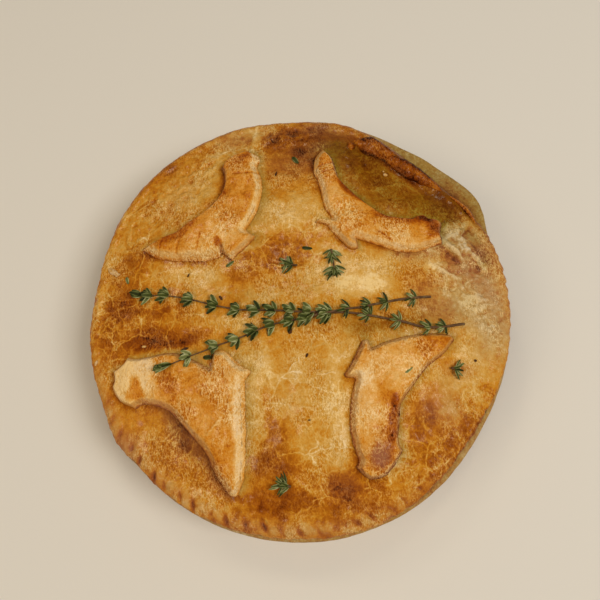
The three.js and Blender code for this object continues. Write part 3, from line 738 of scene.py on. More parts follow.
def lid_top(x, y):
    return lid_form(x, y) + lid_skin(x, y)


# Meshes

def mesh_of(bm, name):
    """Ends a bmesh and gives its mesh."""
    mesh = bpy.data.meshes.new(name)
    bm.to_mesh(mesh)
    bm.free()
    return mesh


def evaluated_mesh(name, data, modify=None):
    """The mesh that a curve or a mesh becomes with its modifiers."""
    holder = bpy.data.objects.new(name, data)
    bpy.context.scene.collection.objects.link(holder)
    if modify:
        modify(holder)
    depsgraph = bpy.context.evaluated_depsgraph_get()
    mesh = bpy.data.meshes.new_from_object(holder.evaluated_get(depsgraph))
    bpy.data.objects.remove(holder)
    return mesh


def finish_piece(name, mesh, material, slot, *nodes):
    """Puts a finished mesh in the scene, riding on the pie and standing for its solids."""
    mesh.polygons.foreach_set("use_smooth", np.ones(len(mesh.polygons), bool))
    mesh.materials.clear()
    mesh.materials.append(material)
    piece = bpy.data.objects.new(name, mesh)
    bpy.context.scene.collection.objects.link(piece)
    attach(piece, "root")
    if nodes:
        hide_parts(*nodes)


def vectors(mesh, kind):
    """The coordinates or normals of the mesh's points, one row for each point."""
    flat = np.empty(len(mesh.vertices) * 3)
    mesh.vertices.foreach_get(kind, flat)
    return flat.reshape(-1, 3)


def coordinates(mesh):
    """Places of the mesh's points, in millimetres."""
    return vectors(mesh, "co") / MM


def set_coordinates(mesh, x, y, z):
    mesh.vertices.foreach_set("co", np.stack([x, y, z], -1).ravel() * MM)
    mesh.update()


def set_fields(mesh, **fields):
    """Keeps named numbers for each point of the mesh, for its material to read.

    Pastry has its bake and shading, from 0 pale to 1 burnt, which in places also carries painted shade and
    painted highlight, its tint, a dusty pink above 0 and olive below, partly painted shade, cracks where the
    glaze has cracked, and dull and shade where it stayed greyish or is painted greyer as shade. A field that
    a mesh lacks reads as 0.
    """
    for name, values in fields.items():
        kept = mesh.attributes.new(name, "FLOAT", "POINT")
        kept.data.foreach_set("value", np.full(len(mesh.vertices), values, np.float32))


def part_of(radius, share):
    """A row's radius by angle: that share of another one."""
    return lambda angle: share * radius(angle)


def moved_in(radius, distance):
    """A row's radius by angle: another one, less a distance."""
    return lambda angle: radius(angle) - distance


def level_at(height):
    """A row's height by place: the same all round."""
    return lambda x, y: np.full(np.shape(x), height)


def skin_of_rows(name, rows, sectors):
    """A closed skin: a grid wrapped round the Z axis, with its rows from the lowest pole to the highest.

    Each row has its radius by angle and its height by place.
    """
    bm = bmesh.new()
    last = len(rows) - 1
    bmesh.ops.create_grid(bm, x_segments=sectors, y_segments=last, size=1.0)
    mesh = bpy.data.meshes.new(name)
    bm.to_mesh(mesh)
    points = vectors(mesh, "co")
    row_of = np.rint((points[:, 1] + 1) / 2 * last).astype(int)
    for k, (radius_at, height_at) in enumerate(rows):
        mine = row_of == k
        angle = (points[mine, 0] + 1) / 2 * TURN
        radius = radius_at(angle)
        points[mine, 0] = radius * np.cos(angle)
        points[mine, 1] = radius * np.sin(angle)
        points[mine, 2] = height_at(points[mine, 0], points[mine, 1])
    set_coordinates(mesh, *points.T)
    bm.clear()
    bm.from_mesh(mesh)
    bmesh.ops.remove_doubles(bm, verts=bm.verts, dist=SEAM_REACH * MM)
    bmesh.ops.recalc_face_normals(bm, faces=bm.faces)
    bm.to_mesh(mesh)
    bm.free()
    return mesh


# Plan of the hens

def hen_outline(stretches, steps):
    """Points round a hen, with a slight waver along the cut."""
    outline = np.concatenate([curve_through(stretch.points, steps)[:-1] for stretch in stretches])
    x, y = outline.T
    waver = np.stack([grain(x, y, HEN_WAVER_SIZE, 120), grain(x, y, HEN_WAVER_SIZE, 121)], -1)
    return outline + HEN_WAVER * waver


HEN_OUTLINES = [hen_outline(stretches, HEN_STEPS) for stretches in HENS.values()]


def inside(x, y, outline):
    """Whether each place lies inside a closed outline."""
    crossings = np.zeros(np.shape(x), int)
    for (ax, ay), (bx, by) in zip(outline, np.roll(outline, -1, 0)):
        spans = (ay > y) != (by > y)
        if ay != by:
            crossings += spans & (x < ax + (y - ay) / (by - ay) * (bx - ax))
    return crossings % 2 == 1


def ground(x, y):
    """Height of the lid, or of the hen that covers it."""
    x, y = np.asarray(x, float), np.asarray(y, float)
    height = lid_form(x, y)
    for outline in HEN_OUTLINES:
        height = height + np.where(inside(x, y, outline), HEN_THICKNESS, 0)
    return height


def hen_sides(x, y):
    """How strong the pale margin beside the hens is at each place, and how strong the painted shade beside
    their other sides.
    """
    pale = np.zeros(np.shape(x))
    dark = np.zeros(np.shape(x))
    wander = 1 + MARGIN_WANDER * grain(x, y, 9, 55)
    for stretches in HENS.values():
        outline = hen_outline(stretches, MARGIN_STEPS)
        nearest = np.full(np.shape(x), np.inf)
        facing = np.zeros(np.shape(x))
        for start, end in zip(outline, np.roll(outline, -1, 0)):
            run = end - start
            outward = (run[1] * MARGIN_SIDE[0] - run[0] * MARGIN_SIDE[1]) / max(np.hypot(*run), 0.01)
            away = distance_to_line(x, y, start, end)
            facing = np.where(away < nearest, outward, facing)
            nearest = np.minimum(nearest, away)
        pale = np.maximum(pale, smooth(facing, -0.2, 0.5) * hill(nearest * wander, MARGIN_WIDTH))
        dark = np.maximum(dark, smooth(-facing, 0.1, 0.6) * hill(nearest, SHADE_WIDTH))
    return pale, dark


# Lid

def lid_edge(angle):
    """Radius of the lid's ragged edge, scalloped on the right."""
    run = np.asarray(angle) * RIM_HALF_WIDTH
    scallops = SCALLOP_DEPTH * wave(run, SCALLOP_WAVE) * bump(angle, SCALLOPED)
    return lid_radius(angle) + waves(run, RAGGED_WAVES) + scallops


def lid_side_at(level):
    """A row's height by place: that share of the way from the lid's foot up to its top."""
    return lambda x, y: LID_FOOT + level * (lid_top(x, y) - LID_FOOT)


def lid_rows():
    rows = [(part_of(lid_radius, share), lid_underside) for share in LID_UNDER_SHARES]
    rows.append((moved_in(lid_edge, LID_FOOT_INSET), level_at(LID_FOOT)))
    for level in LID_SIDE_LEVELS:
        rows.append((moved_in(lid_edge, LID_SIDE_LEAN * (1 - level)), lid_side_at(level)))
    for k in range(LID_TOP_ROWS + 1):
        rows.append((part_of(lid_edge, 1 - (k / LID_TOP_ROWS) ** LID_ROW_CROWDING), lid_top))
    return rows


def olive_strip(angle, into):
    """1 on the pale olive strip outside the burnt roll, whose darker olive is partly painted shade."""
    return plateau(angle, OLIVE_STRIP) * smooth(OLIVE_WIDTH - into, 0, 2)


def roll_bake_and_shading(x, y, angle, into):
    """How much darker the burnt roll and the shade inside it are, uneven along their length."""
    rolled = plateau(angle, ROLL, ROLL_LIFT) * (1 + ROLL_UNEVEN * grain(x, y, 8, 53))
    in_shade = plateau(angle, ROLL_SHADED, ROLL_LIFT) * (1 + ROLL_UNEVEN * grain(x, y, 8, 56))
    crest = ROLL_BAKE * rolled * hill(into - ROLL_INSET, ROLL_HALF_OUT)
    return crest + ROLL_SHADE_BAKE * in_shade * hill(into - ROLL_SHADE_INSET, ROLL_SHADE_HALF)


def rim_bake_and_shading(x, y, angle, into):
    """How much darker the crimps and the edge are, and how much paler the lobes and the pleats' ridges, with
    the pleats' troughs darker: the lobes and pleats are partly painted highlight and painted shade.
    """
    lobes = crimp_lobes(angle, into, LOBE_PALE_INSET)
    bake = lobes * (LOBE_SPOTS * np.maximum(grain(x, y, 5, 54), 0) - LOBE_PALE)
    bake += CRIMP_BAKE * crimp_groove(angle, into)
    bake -= PLEAT_PALE * pleats(angle) * hill(into - PLEAT_PALE_INSET, PLEAT_PALE_REACH)
    return bake + EDGE_BAKE * hill(into, EDGE_BAKE_REACH)


def lid_bake_and_shading(x, y, sides):
    angle, into = np.arctan2(y, x), inset(x, y)
    pale_side, painted_shade_side = sides
    bake = LID_BAKE + patch_sum(x, y, LID_PATCHES, 40) + grains(x, y, LID_BAKE_GRAINS, 50)
    bake += roll_bake_and_shading(x, y, angle, into)
    bake += olive_strip(angle, into) * (OLIVE_BAKE - bake)
    # The pale margin beside the hens, and painted shade beside their other sides
    bake += MARGIN_STRENGTH * pale_side * (MARGIN_BAKE - bake) + SHADE_BAKE * painted_shade_side
    # Creases and flakes: paler ridges and darker dents, partly painted highlight and painted shade
    lines = crease_lines(x, y, LID_CREASES, lambda height: np.clip(height, -1, 1), CREASE_PALE_WIDTH)
    bake -= CREASE_PALE * lines + FLAKE_PALE * flakes(x, y)
    bake += rim_bake_and_shading(x, y, angle, into)
    return np.clip(bake, 0, 1)


def lid_tint(x, y, sides):
    angle, into = np.arctan2(y, x), inset(x, y)
    pale_side, painted_shade_side = sides
    tint = patch_sum(x, y, LID_TINTS, 60)
    tint += CRIMP_TINT * plateau(angle, CRIMPED) * hill(into - LOBE_PALE_INSET, CRIMP_TINT_REACH)
    # Olive of the pale margin, and painted shade beside the other sides of the hens
    tint -= OLIVE_TINT * olive_strip(angle, into) + MARGIN_TINT * pale_side + SHADE_TINT * painted_shade_side
    return np.clip(tint, -1, 1)


def make_lid(material):
    mesh = skin_of_rows("pie_lid_crust", lid_rows(), LID_SECTORS)
    x, y, _ = coordinates(mesh).T
    sides = hen_sides(x, y)
    set_fields(mesh, bake=lid_bake_and_shading(x, y, sides), tint=lid_tint(x, y, sides),
               cracks=np.clip(patch_sum(x, y, LID_CRACKS, 70), 0, 1),
               dull=np.clip(patch_sum(x, y, LID_DULLS_AND_SHADE, 75), 0, 1))
    finish_piece("pie_lid_crust", mesh, material, "lid_pastry", "pie_lid")


def lobe_bake_and_shading(x, y, share, across, lobe, seed):
    """Darkest down both sides of the lobe and palest beside its crest, partly painted shade and a painted
    highlight, with streaks along it.
    """
    bake = lobe.bake + 0.32 * smooth(across, 0.15, 0.8) + 0.3 * smooth(-across, 0.7, 1)
    bake -= 0.16 * hill(across + 0.2, 0.22)
    streaks = grain(share * 0.3, across * lobe.half, LOBE_STREAK, seed + 1)
    return np.clip(bake + 0.12 * grain(x, y, 6, seed) + 0.16 * streaks, 0, 1)


def lobe_mesh(lobe, seed):
    """A long bun of pastry along a crest, pressed into the lid, with creases along its length."""
    bm = bmesh.new()
    bmesh.ops.create_uvsphere(bm, u_segments=28, v_segments=56, radius=1.0)
    mesh = mesh_of(bm, "roll_lobe")
    across, up, along = vectors(mesh, "co").T
    line = curve_through(lobe.crest, 20)
    run = np.gradient(line, axis=0)
    run /= np.linalg.norm(run, axis=1)[:, None]
    stops = np.arange(len(line))
    share = (1 - np.arccos(np.clip(along, -1, 1)) / math.pi) * stops[-1]
    x, y, run_x, run_y = (np.interp(share, stops, column) for column in np.hstack([line, run]).T)
    lumps = 1 + 0.2 * grain(share, up, 14, seed) + 0.08 * grain(share, across * 6, 4, seed + 1)
    off = across * lobe.half * lumps
    x, y = x - run_y * off, y + run_x * off
    pleat = 0.25 * grain(share * 0.3, across * lobe.half, LOBE_STREAK, seed + 2) * (up > 0)
    set_coordinates(mesh, x, y, lid_form(x, y) + up * lobe.height * lumps + pleat)
    set_fields(mesh, bake=lobe_bake_and_shading(x, y, share, across, lobe, seed + 3),
               tint=0.1 * grain(x, y, 8, seed + 5), cracks=0.15)
    return mesh


def make_roll_lobes(material):
    bm = bmesh.new()
    for k, lobe in enumerate(ROLL_LOBES):
        bm.from_mesh(lobe_mesh(lobe, 130 + 10 * k))
    bmesh.ops.recalc_face_normals(bm, faces=bm.faces)
    finish_piece("burnt_roll_lobes", mesh_of(bm, "burnt_roll_lobes"), material, "lid_pastry")


# Case: base pastry with a flat foot, a leaning wall and a flange that carries the lid

def wall_at(z):
    """Radius of the leaning wall by angle, at one height."""
    top = FLANGE_TOP - FLANGE_THICKNESS
    share = np.clip((top - z) / (top - BASE_ROUND), 0, 1)
    return lambda angle: oval_radius(angle) - FLANGE_OVERHANG - WALL_LEAN * share


def flange_at(depth):
    """A row's height by place: a depth below the flange's top, which droops at the flap."""
    return lambda x, y: FLANGE_TOP - depth - FLAP_DROOP * bump(np.arctan2(y, x), FLAP)


def case_top(x, y):
    return lid_underside(x, y) - LID_GAP


def case_rows():
    foot = wall_at(0.0)
    rows = [(part_of(foot, share), level_at(0.0)) for share in CASE_FOOT_SHARES]
    for turn in np.radians(BASE_ROUND_TURNS):
        up = BASE_ROUND * (1 - math.cos(turn))
        rows.append((moved_in(foot, BASE_ROUND * (1 - math.sin(turn))), level_at(up)))
    wall_top = FLANGE_TOP - FLANGE_THICKNESS - WALL_BEND
    for level in np.linspace(BASE_ROUND, wall_top, CASE_WALL_ROWS)[1:]:
        rows.append((wall_at(level), level_at(level)))
    rows.append((moved_in(flange_radius, FLANGE_UNDER_INSET), flange_at(FLANGE_THICKNESS + FLANGE_SAG)))
    half = FLANGE_THICKNESS / 2
    for turn in np.radians(FLANGE_EDGE_TURNS):
        inward = FLANGE_EDGE_ROUND * (1 - math.cos(turn))
        rows.append((moved_in(flange_radius, inward), flange_at(half - half * math.sin(turn))))
    rows.append((moved_in(flange_radius, FLANGE_TOP_INSET), flange_at(0.0)))
    rows += [(part_of(lid_radius, share), case_top) for share in CASE_TOP_SHARES]
    return rows


def make_case(material):
    mesh = skin_of_rows("pie_case_crust", case_rows(), CASE_SECTORS)
    x, y, z = coordinates(mesh).T
    angle = np.arctan2(y, x)
    around = angle * RIM_HALF_WIDTH
    on_wall = smooth(z, 0.5, 3) * smooth(FLANGE_TOP - z, 0.0, 2.0)
    rough = 1 + grains(around, z, CASE_ROUGHNESS, 80) * on_wall / np.maximum(np.hypot(x, y), 1)
    x, y = x * rough, y * rough
    set_coordinates(mesh, x, y, z)
    flange = smooth(z, FLANGE_TOP - FLANGE_THICKNESS - 2, FLANGE_TOP - FLANGE_THICKNESS)
    olive = plateau(angle, OLIVE_STRIP)
    gap = hill(np.hypot(x, y) - lid_radius(angle), FLAP_GAP_REACH) * plateau(angle, FLAP, 1.5)
    bake = CASE_BAKE + grains(around, z, CASE_BAKE_GRAINS, 83)
    bake += CASE_FOOT_BAKE * smooth(CASE_FOOT_REACH - z, 0, CASE_FOOT_REACH)
    bake += flange * (FLAP_GAP_BAKE * gap - FLANGE_PALE - FLANGE_OLIVE_PALE * olive)
    # The flange's olive tint and its greying are partly painted shade.
    set_fields(mesh, bake=np.clip(bake, 0, 1), tint=-flange * (FLANGE_TINT + FLANGE_OLIVE_TINT * olive),
               cracks=0.3 * (1 - flange), dull=0.4 + 0.6 * flange)
    finish_piece("pie_case_crust", mesh, material, "case_pastry", "pie_case")


# Hen cut-outs

def edge_share(x, y, stretches):
    """How far each place has come up the sloping edge, 0 at its foot and 1 at its top, how pale it is there
    and how far it lies in from the outline."""
    away = []
    for stretch in stretches:
        line = curve_through(stretch.points, HEN_EDGE_STEPS)
        away.append(np.min([distance_to_line(x, y, a, b) for a, b in zip(line, line[1:])], axis=0))
    shares = [far / stretch.slope for far, stretch in zip(away, stretches)]
    nearest = np.argmin(shares, axis=0)
    pale = np.array([stretch.pale for stretch in stretches])[nearest]
    return np.min(shares, axis=0), pale, np.min(away, axis=0)


def edge_profile(share):
    """Height of the edge: a low wall, a straight cut side and a top that is barely rounded."""
    return 0.2 + 0.66 * np.clip(share, 0, 1) + 0.14 * smooth(share, 0.8, 1.6)


def add_even_skin(holder):
    even = holder.modifiers.new("even_skin", "REMESH")
    even.mode = "VOXEL"
    even.voxel_size = HEN_VOXEL * MM


def hen_slab(name, stretches):
    """A flat slab of pastry in the hen's outline, with an even skin of small faces."""
    bm = bmesh.new()
    outline = hen_outline(stretches, HEN_STEPS)
    sole = bm.faces.new([bm.verts.new((x * MM, y * MM, -HEN_SUNK * MM)) for x, y in outline])
    raised = bmesh.ops.extrude_face_region(bm, geom=[sole])
    top = [item for item in raised["geom"] if isinstance(item, bmesh.types.BMVert)]
    bmesh.ops.translate(bm, verts=top, vec=(0, 0, (HEN_THICKNESS + HEN_SUNK) * MM))
    bmesh.ops.recalc_face_normals(bm, faces=bm.faces)
    return evaluated_mesh("slab", mesh_of(bm, name + "_slab"), add_even_skin)


def hen_bake_and_shading(x, y, share, cut, crust):
    """Brown patches on top, a pale cut side, a dark foot that is partly painted contact shade, a painted
    highlight along the lip and the creases.
    """
    bake = HEN_BAKE + patch_sum(x, y, HEN_PATCHES, 100, HEN_PATCH_CRISP) + grains(x, y, HEN_BAKE_GRAINS, 95)
    bake += HEN_CRUST_BAKE * crust
    bake += cut * (HEN_CUT_BAKE + HEN_CUT_GRAIN * grain(x, y, 4, 98) - bake)
    # Dark foot, partly painted contact shade, and a painted highlight along the lip
    bake += HEN_FOOT_BAKE_AND_SHADE * hill(share, 0.28) - HEN_LIP_HIGHLIGHT * hill(share - 1.1, 0.15)
    bake -= HEN_CREASE_PALE * crease_lines(x, y, HEN_CREASES, np.sign)
    return np.clip(bake, 0, 1)


def make_hen(name, stretches, material):
    mesh = hen_slab(name, stretches)
    x, y, level = coordinates(mesh).T
    out_x, out_y, _ = vectors(mesh, "normal").T
    share, pale, away = edge_share(x, y, stretches)
    raised = np.where(level > 0, level * edge_profile(share), level)
    raised += HEN_DOME * smooth(away, 0, HEN_DOME_REACH) * smooth(level, *HEN_DOME_LEVELS)
    puff = grains(x, y, HEN_PUFF, 92) * smooth(level, *HEN_PUFF_LEVELS)
    sideways = smooth(np.hypot(out_x, out_y), 0.5, 0.9)
    ragged = HEN_RAGGED * grain(x, y, HEN_RAGGED_SIZE, 91) * sideways
    set_coordinates(mesh, x + out_x * ragged, y + out_y * ragged,
                    lid_form(x, y) + raised + puff + crease_lines(x, y, HEN_CREASES))
    slope = 1 - smooth(share, 0.9, 1.08)
    cut, crust = slope * pale, slope * (1 - pale)
    # The crust side is also painted greyer and darker, as painted shade.
    set_fields(mesh, bake=hen_bake_and_shading(x, y, share, cut, crust),
               tint=np.clip(patch_sum(x, y, HEN_TINTS, 110), -1, 1), dull=crust, cut=cut, level=raised)
    finish_piece(name + "_pastry", mesh, material, "hen_pastry", name)


# Thyme

def distances_along(line):
    """How far along the line each of its points lies."""
    return np.concatenate([[0], np.cumsum(np.linalg.norm(np.diff(line, axis=0), axis=1))])


def points_at(places, along, line):
    """Points of the line at those distances along it."""
    return np.stack([np.interp(places, along, column) for column in line.T], -1)


def stem_line(route, laid):
    """A stiff stem that lies on the highest ground and stems near it, and bridges the steps between."""
    fine = curve_through(route, 40)
    along = distances_along(fine)
    count = max(int(round(along[-1] / STEM_STEP)), 4)
    places = np.linspace(0, along[-1], count + 1)
    plan = points_at(places, along, fine)
    reach = STEM_RADIUS + LID_GAP
    turns = np.linspace(0, TURN, 8, endpoint=False)
    ring = reach * np.stack([np.cos(turns), np.sin(turns)], -1)
    floor = np.max([ground(*(plan + step).T) for step in ring], axis=0) + reach
    for other in laid:
        apart = np.hypot(*(plan[:, None, :] - other[None, :, :2]).transpose(2, 0, 1))
        over = np.where(apart < 2 * STEM_RADIUS + LID_GAP, other[None, :, 2] + 2 * STEM_RADIUS, -np.inf)
        floor = np.maximum(floor, over.max(1))
    lifted = floor[None, :] - STEM_SLOPE * np.abs(places[:, None] - places[None, :])
    return np.column_stack([plan, lifted.max(1)])


def stem_mesh(line):
    """A round tube along a line, thinner towards the tip and closed at both ends."""
    curve = bpy.data.curves.new("stem", "CURVE")
    curve.dimensions = "3D"
    curve.bevel_depth = STEM_RADIUS * MM
    curve.bevel_resolution = 2
    curve.use_fill_caps = True
    spline = curve.splines.new("POLY")
    spline.points.add(len(line) - 1)
    for k, (point, place) in enumerate(zip(spline.points, line)):
        point.co = (*(place * MM), 1)
        point.radius = STEM_TIP + STEM_GROWTH * k / len(line)
    return evaluated_mesh("stem", curve)


def leaf_template():
    """A round ball with its poles along X, to be pressed into a leaf."""
    bm = bmesh.new()
    bmesh.ops.create_uvsphere(bm, u_segments=8, v_segments=8, radius=1.0)
    bmesh.ops.rotate(bm, verts=bm.verts, cent=(0, 0, 0), matrix=Matrix.Rotation(TURN / 4, 3, "Y"))
    return mesh_of(bm, "leaf")


LEAF_MESH = leaf_template()
LEAF_POINTS = vectors(LEAF_MESH, "co")
LEAF_FACES = [list(face.vertices) for face in LEAF_MESH.polygons]
Leaf = namedtuple("Leaf", "root heading rise roll bend length width")


def leaf_points(leaf, random):
    """A thin leaf, pointed at both ends, bent, curled and folded a little along its rib, in its place."""
    x, y, z = LEAF_POINTS.T
    along = (x + 1) / 2
    curl, fold = random.uniform(*LEAF_CURLS), random.uniform(*LEAF_FOLDS)
    east = along * leaf.length
    north = y * (1.2 - 0.4 * along) * leaf.width / 2 + leaf.bend * east * along
    up = z * LEAF_THICKNESS / 2 + fold * np.abs(y) * leaf.width / 2 - curl * along ** 2
    turn = Matrix.Rotation(leaf.heading, 3, "Z") @ Euler((leaf.roll, -leaf.rise, 0)).to_matrix()
    return np.stack([east, north, up], -1) @ np.array(turn).T + leaf.root


def whorl_leaf(line, along, place, side, spread, size, random):
    """One leaf of a whorl, to one side of the stem and turned from it by its spread."""
    place = np.clip(place + random.uniform(*LEAF_SLIDES), 0.2, along[-1])
    root, ahead, behind = points_at([place, max(place - 2, 0), place + 2], along, line)
    forward = math.atan2(ahead[1] - behind[1], ahead[0] - behind[0])
    spread = spread + random.uniform(*LEAF_SWINGS)
    rise = random.uniform(*LEAF_RISES) + UPRIGHT_RISE * (spread < UPRIGHT_SPREAD)
    roll = side * random.uniform(*LEAF_ROLLS)
    bend = -side * spread * random.uniform(*LEAF_BENDS)
    length = size[0] * random.uniform(*LEAF_LENGTHS)
    width = size[1] * random.uniform(*LEAF_WIDTHS)
    return Leaf(root, forward + side * spread, rise, roll, bend, length, width)


def sprig_leaves(line, sprig, random):
    """Leaves of a sprig: at each whorl some to each side, swept towards the tip or out like a star."""
    along = distances_along(line)
    leaves = []
    for place in sprig.whorls:
        spreads, size = SWEPT_SPREADS, SWEPT_LEAF
        if place >= sprig.star_from:
            spreads, size = STAR_SPREADS, STAR_LEAF
        elif place < TIP_REACH:
            spreads = TIP_SPREADS
        for side in (-1, 1):
            leaves += [whorl_leaf(line, along, place, side, spread, size, random) for spread in spreads]
    return leaves


def leaves_mesh(name, leaves, random):
    """Joined leaves that bend up where the ground would cross them."""
    shapes = np.stack([leaf_points(leaf, random) for leaf in leaves])
    lowest = ground(shapes[..., 0], shapes[..., 1]) + LEAF_CLEARANCE
    shapes[..., 2] = np.maximum(shapes[..., 2], lowest + LEAF_POINTS[:, 2] * LEAF_THICKNESS / 2)
    count, size = shapes.shape[:2]
    faces = [[k * size + corner for corner in face] for k in range(count) for face in LEAF_FACES]
    mesh = bpy.data.meshes.new(name)
    mesh.from_pydata((shapes.reshape(-1, 3) * MM).tolist(), [], faces)
    set_fields(mesh, rib=np.tile(np.abs(LEAF_POINTS[:, 1]), count), top=np.tile(LEAF_POINTS[:, 2], count),
               tone=np.repeat(random.random(count), size))
    return mesh


def make_thyme(leaf_material, stem_material):
    laid = []
    for sprig in SPRIGS:
        random = np.random.default_rng(sprig.seed)
        line = stem_line(sprig.route, laid)
        laid.append(line)
        finish_piece(sprig.name + "_stem", stem_mesh(line), stem_material, "thyme", sprig.name)
        mesh = leaves_mesh(sprig.name + "_leaves", sprig_leaves(line, sprig, random), random)
        finish_piece(sprig.name + "_leaves", mesh, leaf_material, "thyme", sprig.name)


def make_loose_leaves(material):
    leaves = []
    for leaf in LOOSE_LEAVES:
        turn = math.radians(leaf.yaw)
        half = leaf.length / 2
        root = np.array((leaf.at[0] - half * math.cos(turn), leaf.at[1] - half * math.sin(turn), 0))
        leaves.append(Leaf(root, turn, 0, 0, LOOSE_LEAF_BEND, leaf.length, leaf.width))
    mesh = leaves_mesh("loose_thyme_leaves", leaves, np.random.default_rng(LOOSE_LEAF_SEED))
    finish_piece("loose_thyme_leaves", mesh, material, "thyme")


# Bits that lie loose on the lid

def bits_mesh(name, bits, thickness, seed):
    """Joined flat crumbs, each with an uneven outline."""
    bm = bmesh.new()
    for bit in bits:
        crumb = bmesh.ops.create_icosphere(bm, subdivisions=2, radius=1.0)["verts"]
        flat = np.array([vert.co for vert in crumb])
        uneven = 1 + BIT_UNEVEN * grain(flat[:, 0] + bit.at[0], flat[:, 1] + bit.at[1], 0.9, seed)
        turn = math.radians(bit.turn)
        along, across = flat[:, 0] * uneven * bit.long, flat[:, 1] * uneven * bit.wide
        x = bit.at[0] + along * math.cos(turn) - across * math.sin(turn)
        y = bit.at[1] + along * math.sin(turn) + across * math.cos(turn)
        z = lid_form(x, y) + thickness * (0.4 + 0.6 * flat[:, 2])
        for vert, place in zip(crumb, np.stack([x, y, z], -1)):
            vert.co = place * MM
    bmesh.ops.recalc_face_normals(bm, faces=bm.faces)
    return mesh_of(bm, name)


def make_crumbs(material):
    mesh = bits_mesh("pastry_crumbs", PASTRY_CRUMBS, CRUMB_THICKNESS, 160)
    x, y, _ = coordinates(mesh).T
    set_fields(mesh, bake=0.12 + 0.2 * grain(x, y, 1.5, 161), tint=0.4)
    finish_piece("pastry_crumbs", mesh, material, "lid_pastry")


def make_dark_bits(material):
    mesh = bits_mesh("dark_thyme_bits", DARK_BITS, DARK_BIT_THICKNESS, 162)
    finish_piece("dark_thyme_bits", mesh, material, "thyme")


# Shader helpers

def srgb(red, green, blue):
    """Linear colour of a colour given by its 0 to 255 screen values."""
    def linear(value):
        share = value / 255
        return share / 12.92 if share <= 0.04045 else ((share + 0.055) / 1.055) ** 2.4
    return (linear(red), linear(green), linear(blue), 1.0)


def new_material(name):
    material = bpy.data.materials.new(name)
    material.use_nodes = True
    return material, material.node_tree, material.node_tree.nodes["Principled BSDF"]


def connect(tree, node, inputs):
    """Gives a node its inputs, as links from other nodes or as plain values."""
    for key, value in inputs.items():
        if isinstance(value, bpy.types.NodeSocket):
            tree.links.new(value, node.inputs[key])
        else:
            node.inputs[key].default_value = value


def add(tree, kind, inputs, **settings):
    """A new node with its settings and its inputs."""
    node = tree.nodes.new(kind)
    for key, value in settings.items():
        setattr(node, key, value)
    connect(tree, node, inputs)
    return node


def place_on_piece(tree):
    return add(tree, "ShaderNodeTexCoord", {}).outputs["Object"]


def field(tree, name):
    return add(tree, "ShaderNodeAttribute", {}, attribute_name=name).outputs["Fac"]


def calculate(tree, operation, first, second=0.0, third=0.0):
    return add(tree, "ShaderNodeMath", {0: first, 1: second, 2: third}, operation=operation).outputs[0]


def times(tree, first, second):
    return calculate(tree, "MULTIPLY", first, second)


def added(tree, total, *terms):
    """A value plus terms, each given as another value and how much of it counts."""
    for value, amount in terms:
        total = calculate(tree, "MULTIPLY_ADD", value, amount, total)
    return total


def off_from(tree, value, middle):
    """How far a value is off a middle one, on either side."""
    return calculate(tree, "ABSOLUTE", calculate(tree, "SUBTRACT", value, middle))


def moved(tree, operation, vector, inputs):
    return add(tree, "ShaderNodeVectorMath", {0: vector, **inputs}, operation=operation).outputs[0]


def noise_value(tree, place, scale, detail=3.0, roughness=0.6):
    inputs = {"Vector": place, "Scale": scale, "Detail": detail, "Roughness": roughness}
    return add(tree, "ShaderNodeTexNoise", inputs).outputs["Fac"]


def remap(tree, value, low, high, to_low, to_high):
    inputs = {"Value": value, "From Min": low, "From Max": high, "To Min": to_low, "To Max": to_high}
    return add(tree, "ShaderNodeMapRange", inputs).outputs["Result"]


def about_zero(tree, value):
    """A noise value with its contrast raised, from -1 to 1."""
    return remap(tree, value, 0.3, 0.7, -1.0, 1.0)


def ramp(tree, value, stops):
    node = add(tree, "ShaderNodeValToRGB", {"Fac": value})
    elements = node.color_ramp.elements
    for element, (position, colour) in zip(elements, (stops[0], stops[-1])):
        element.position = position
        element.color = colour
    for position, colour in stops[1:-1]:
        elements.new(position).color = colour
    return node.outputs["Color"]


def blend(tree, share, first, second, how="MIX"):
    inputs = {0: share, 6: first, 7: second}
    return add(tree, "ShaderNodeMix", inputs, data_type="RGBA", blend_type=how).outputs[2]


def relief(tree, height, strength, depth):
    """Fine relief of a surface, with its depth in millimetres."""
    inputs = {"Height": height, "Strength": strength, "Distance": depth * MM}
    return add(tree, "ShaderNodeBump", inputs).outputs[0]


# Materials

LID_COLOURS = [
    (0.00, srgb(246, 216, 166)),
    (0.14, srgb(226, 184, 114)),
    (0.28, srgb(214, 164, 78)),
    (0.44, srgb(205, 138, 36)),
    (0.58, srgb(181, 107, 13)),
    (0.72, srgb(155, 82, 5)),
    (0.86, srgb(128, 60, 2)),
    (1.00, srgb(62, 20, 0)),
]
HEN_COLOURS = [
    (0.00, srgb(248, 214, 164)),
    (0.14, srgb(234, 186, 116)),
    (0.28, srgb(224, 164, 80)),
    (0.44, srgb(212, 138, 38)),
    (0.58, srgb(186, 105, 12)),
    (0.72, srgb(160, 78, 4)),
    (0.86, srgb(130, 58, 2)),
    (1.00, srgb(62, 20, 0)),
]
DUSTY_PINK = srgb(164, 104, 74)
# Olive darkening: the olive of unglazed pastry, and painted shade
OLIVE_AND_SHADE = srgb(180, 176, 104)
AMBER = srgb(255, 246, 205)
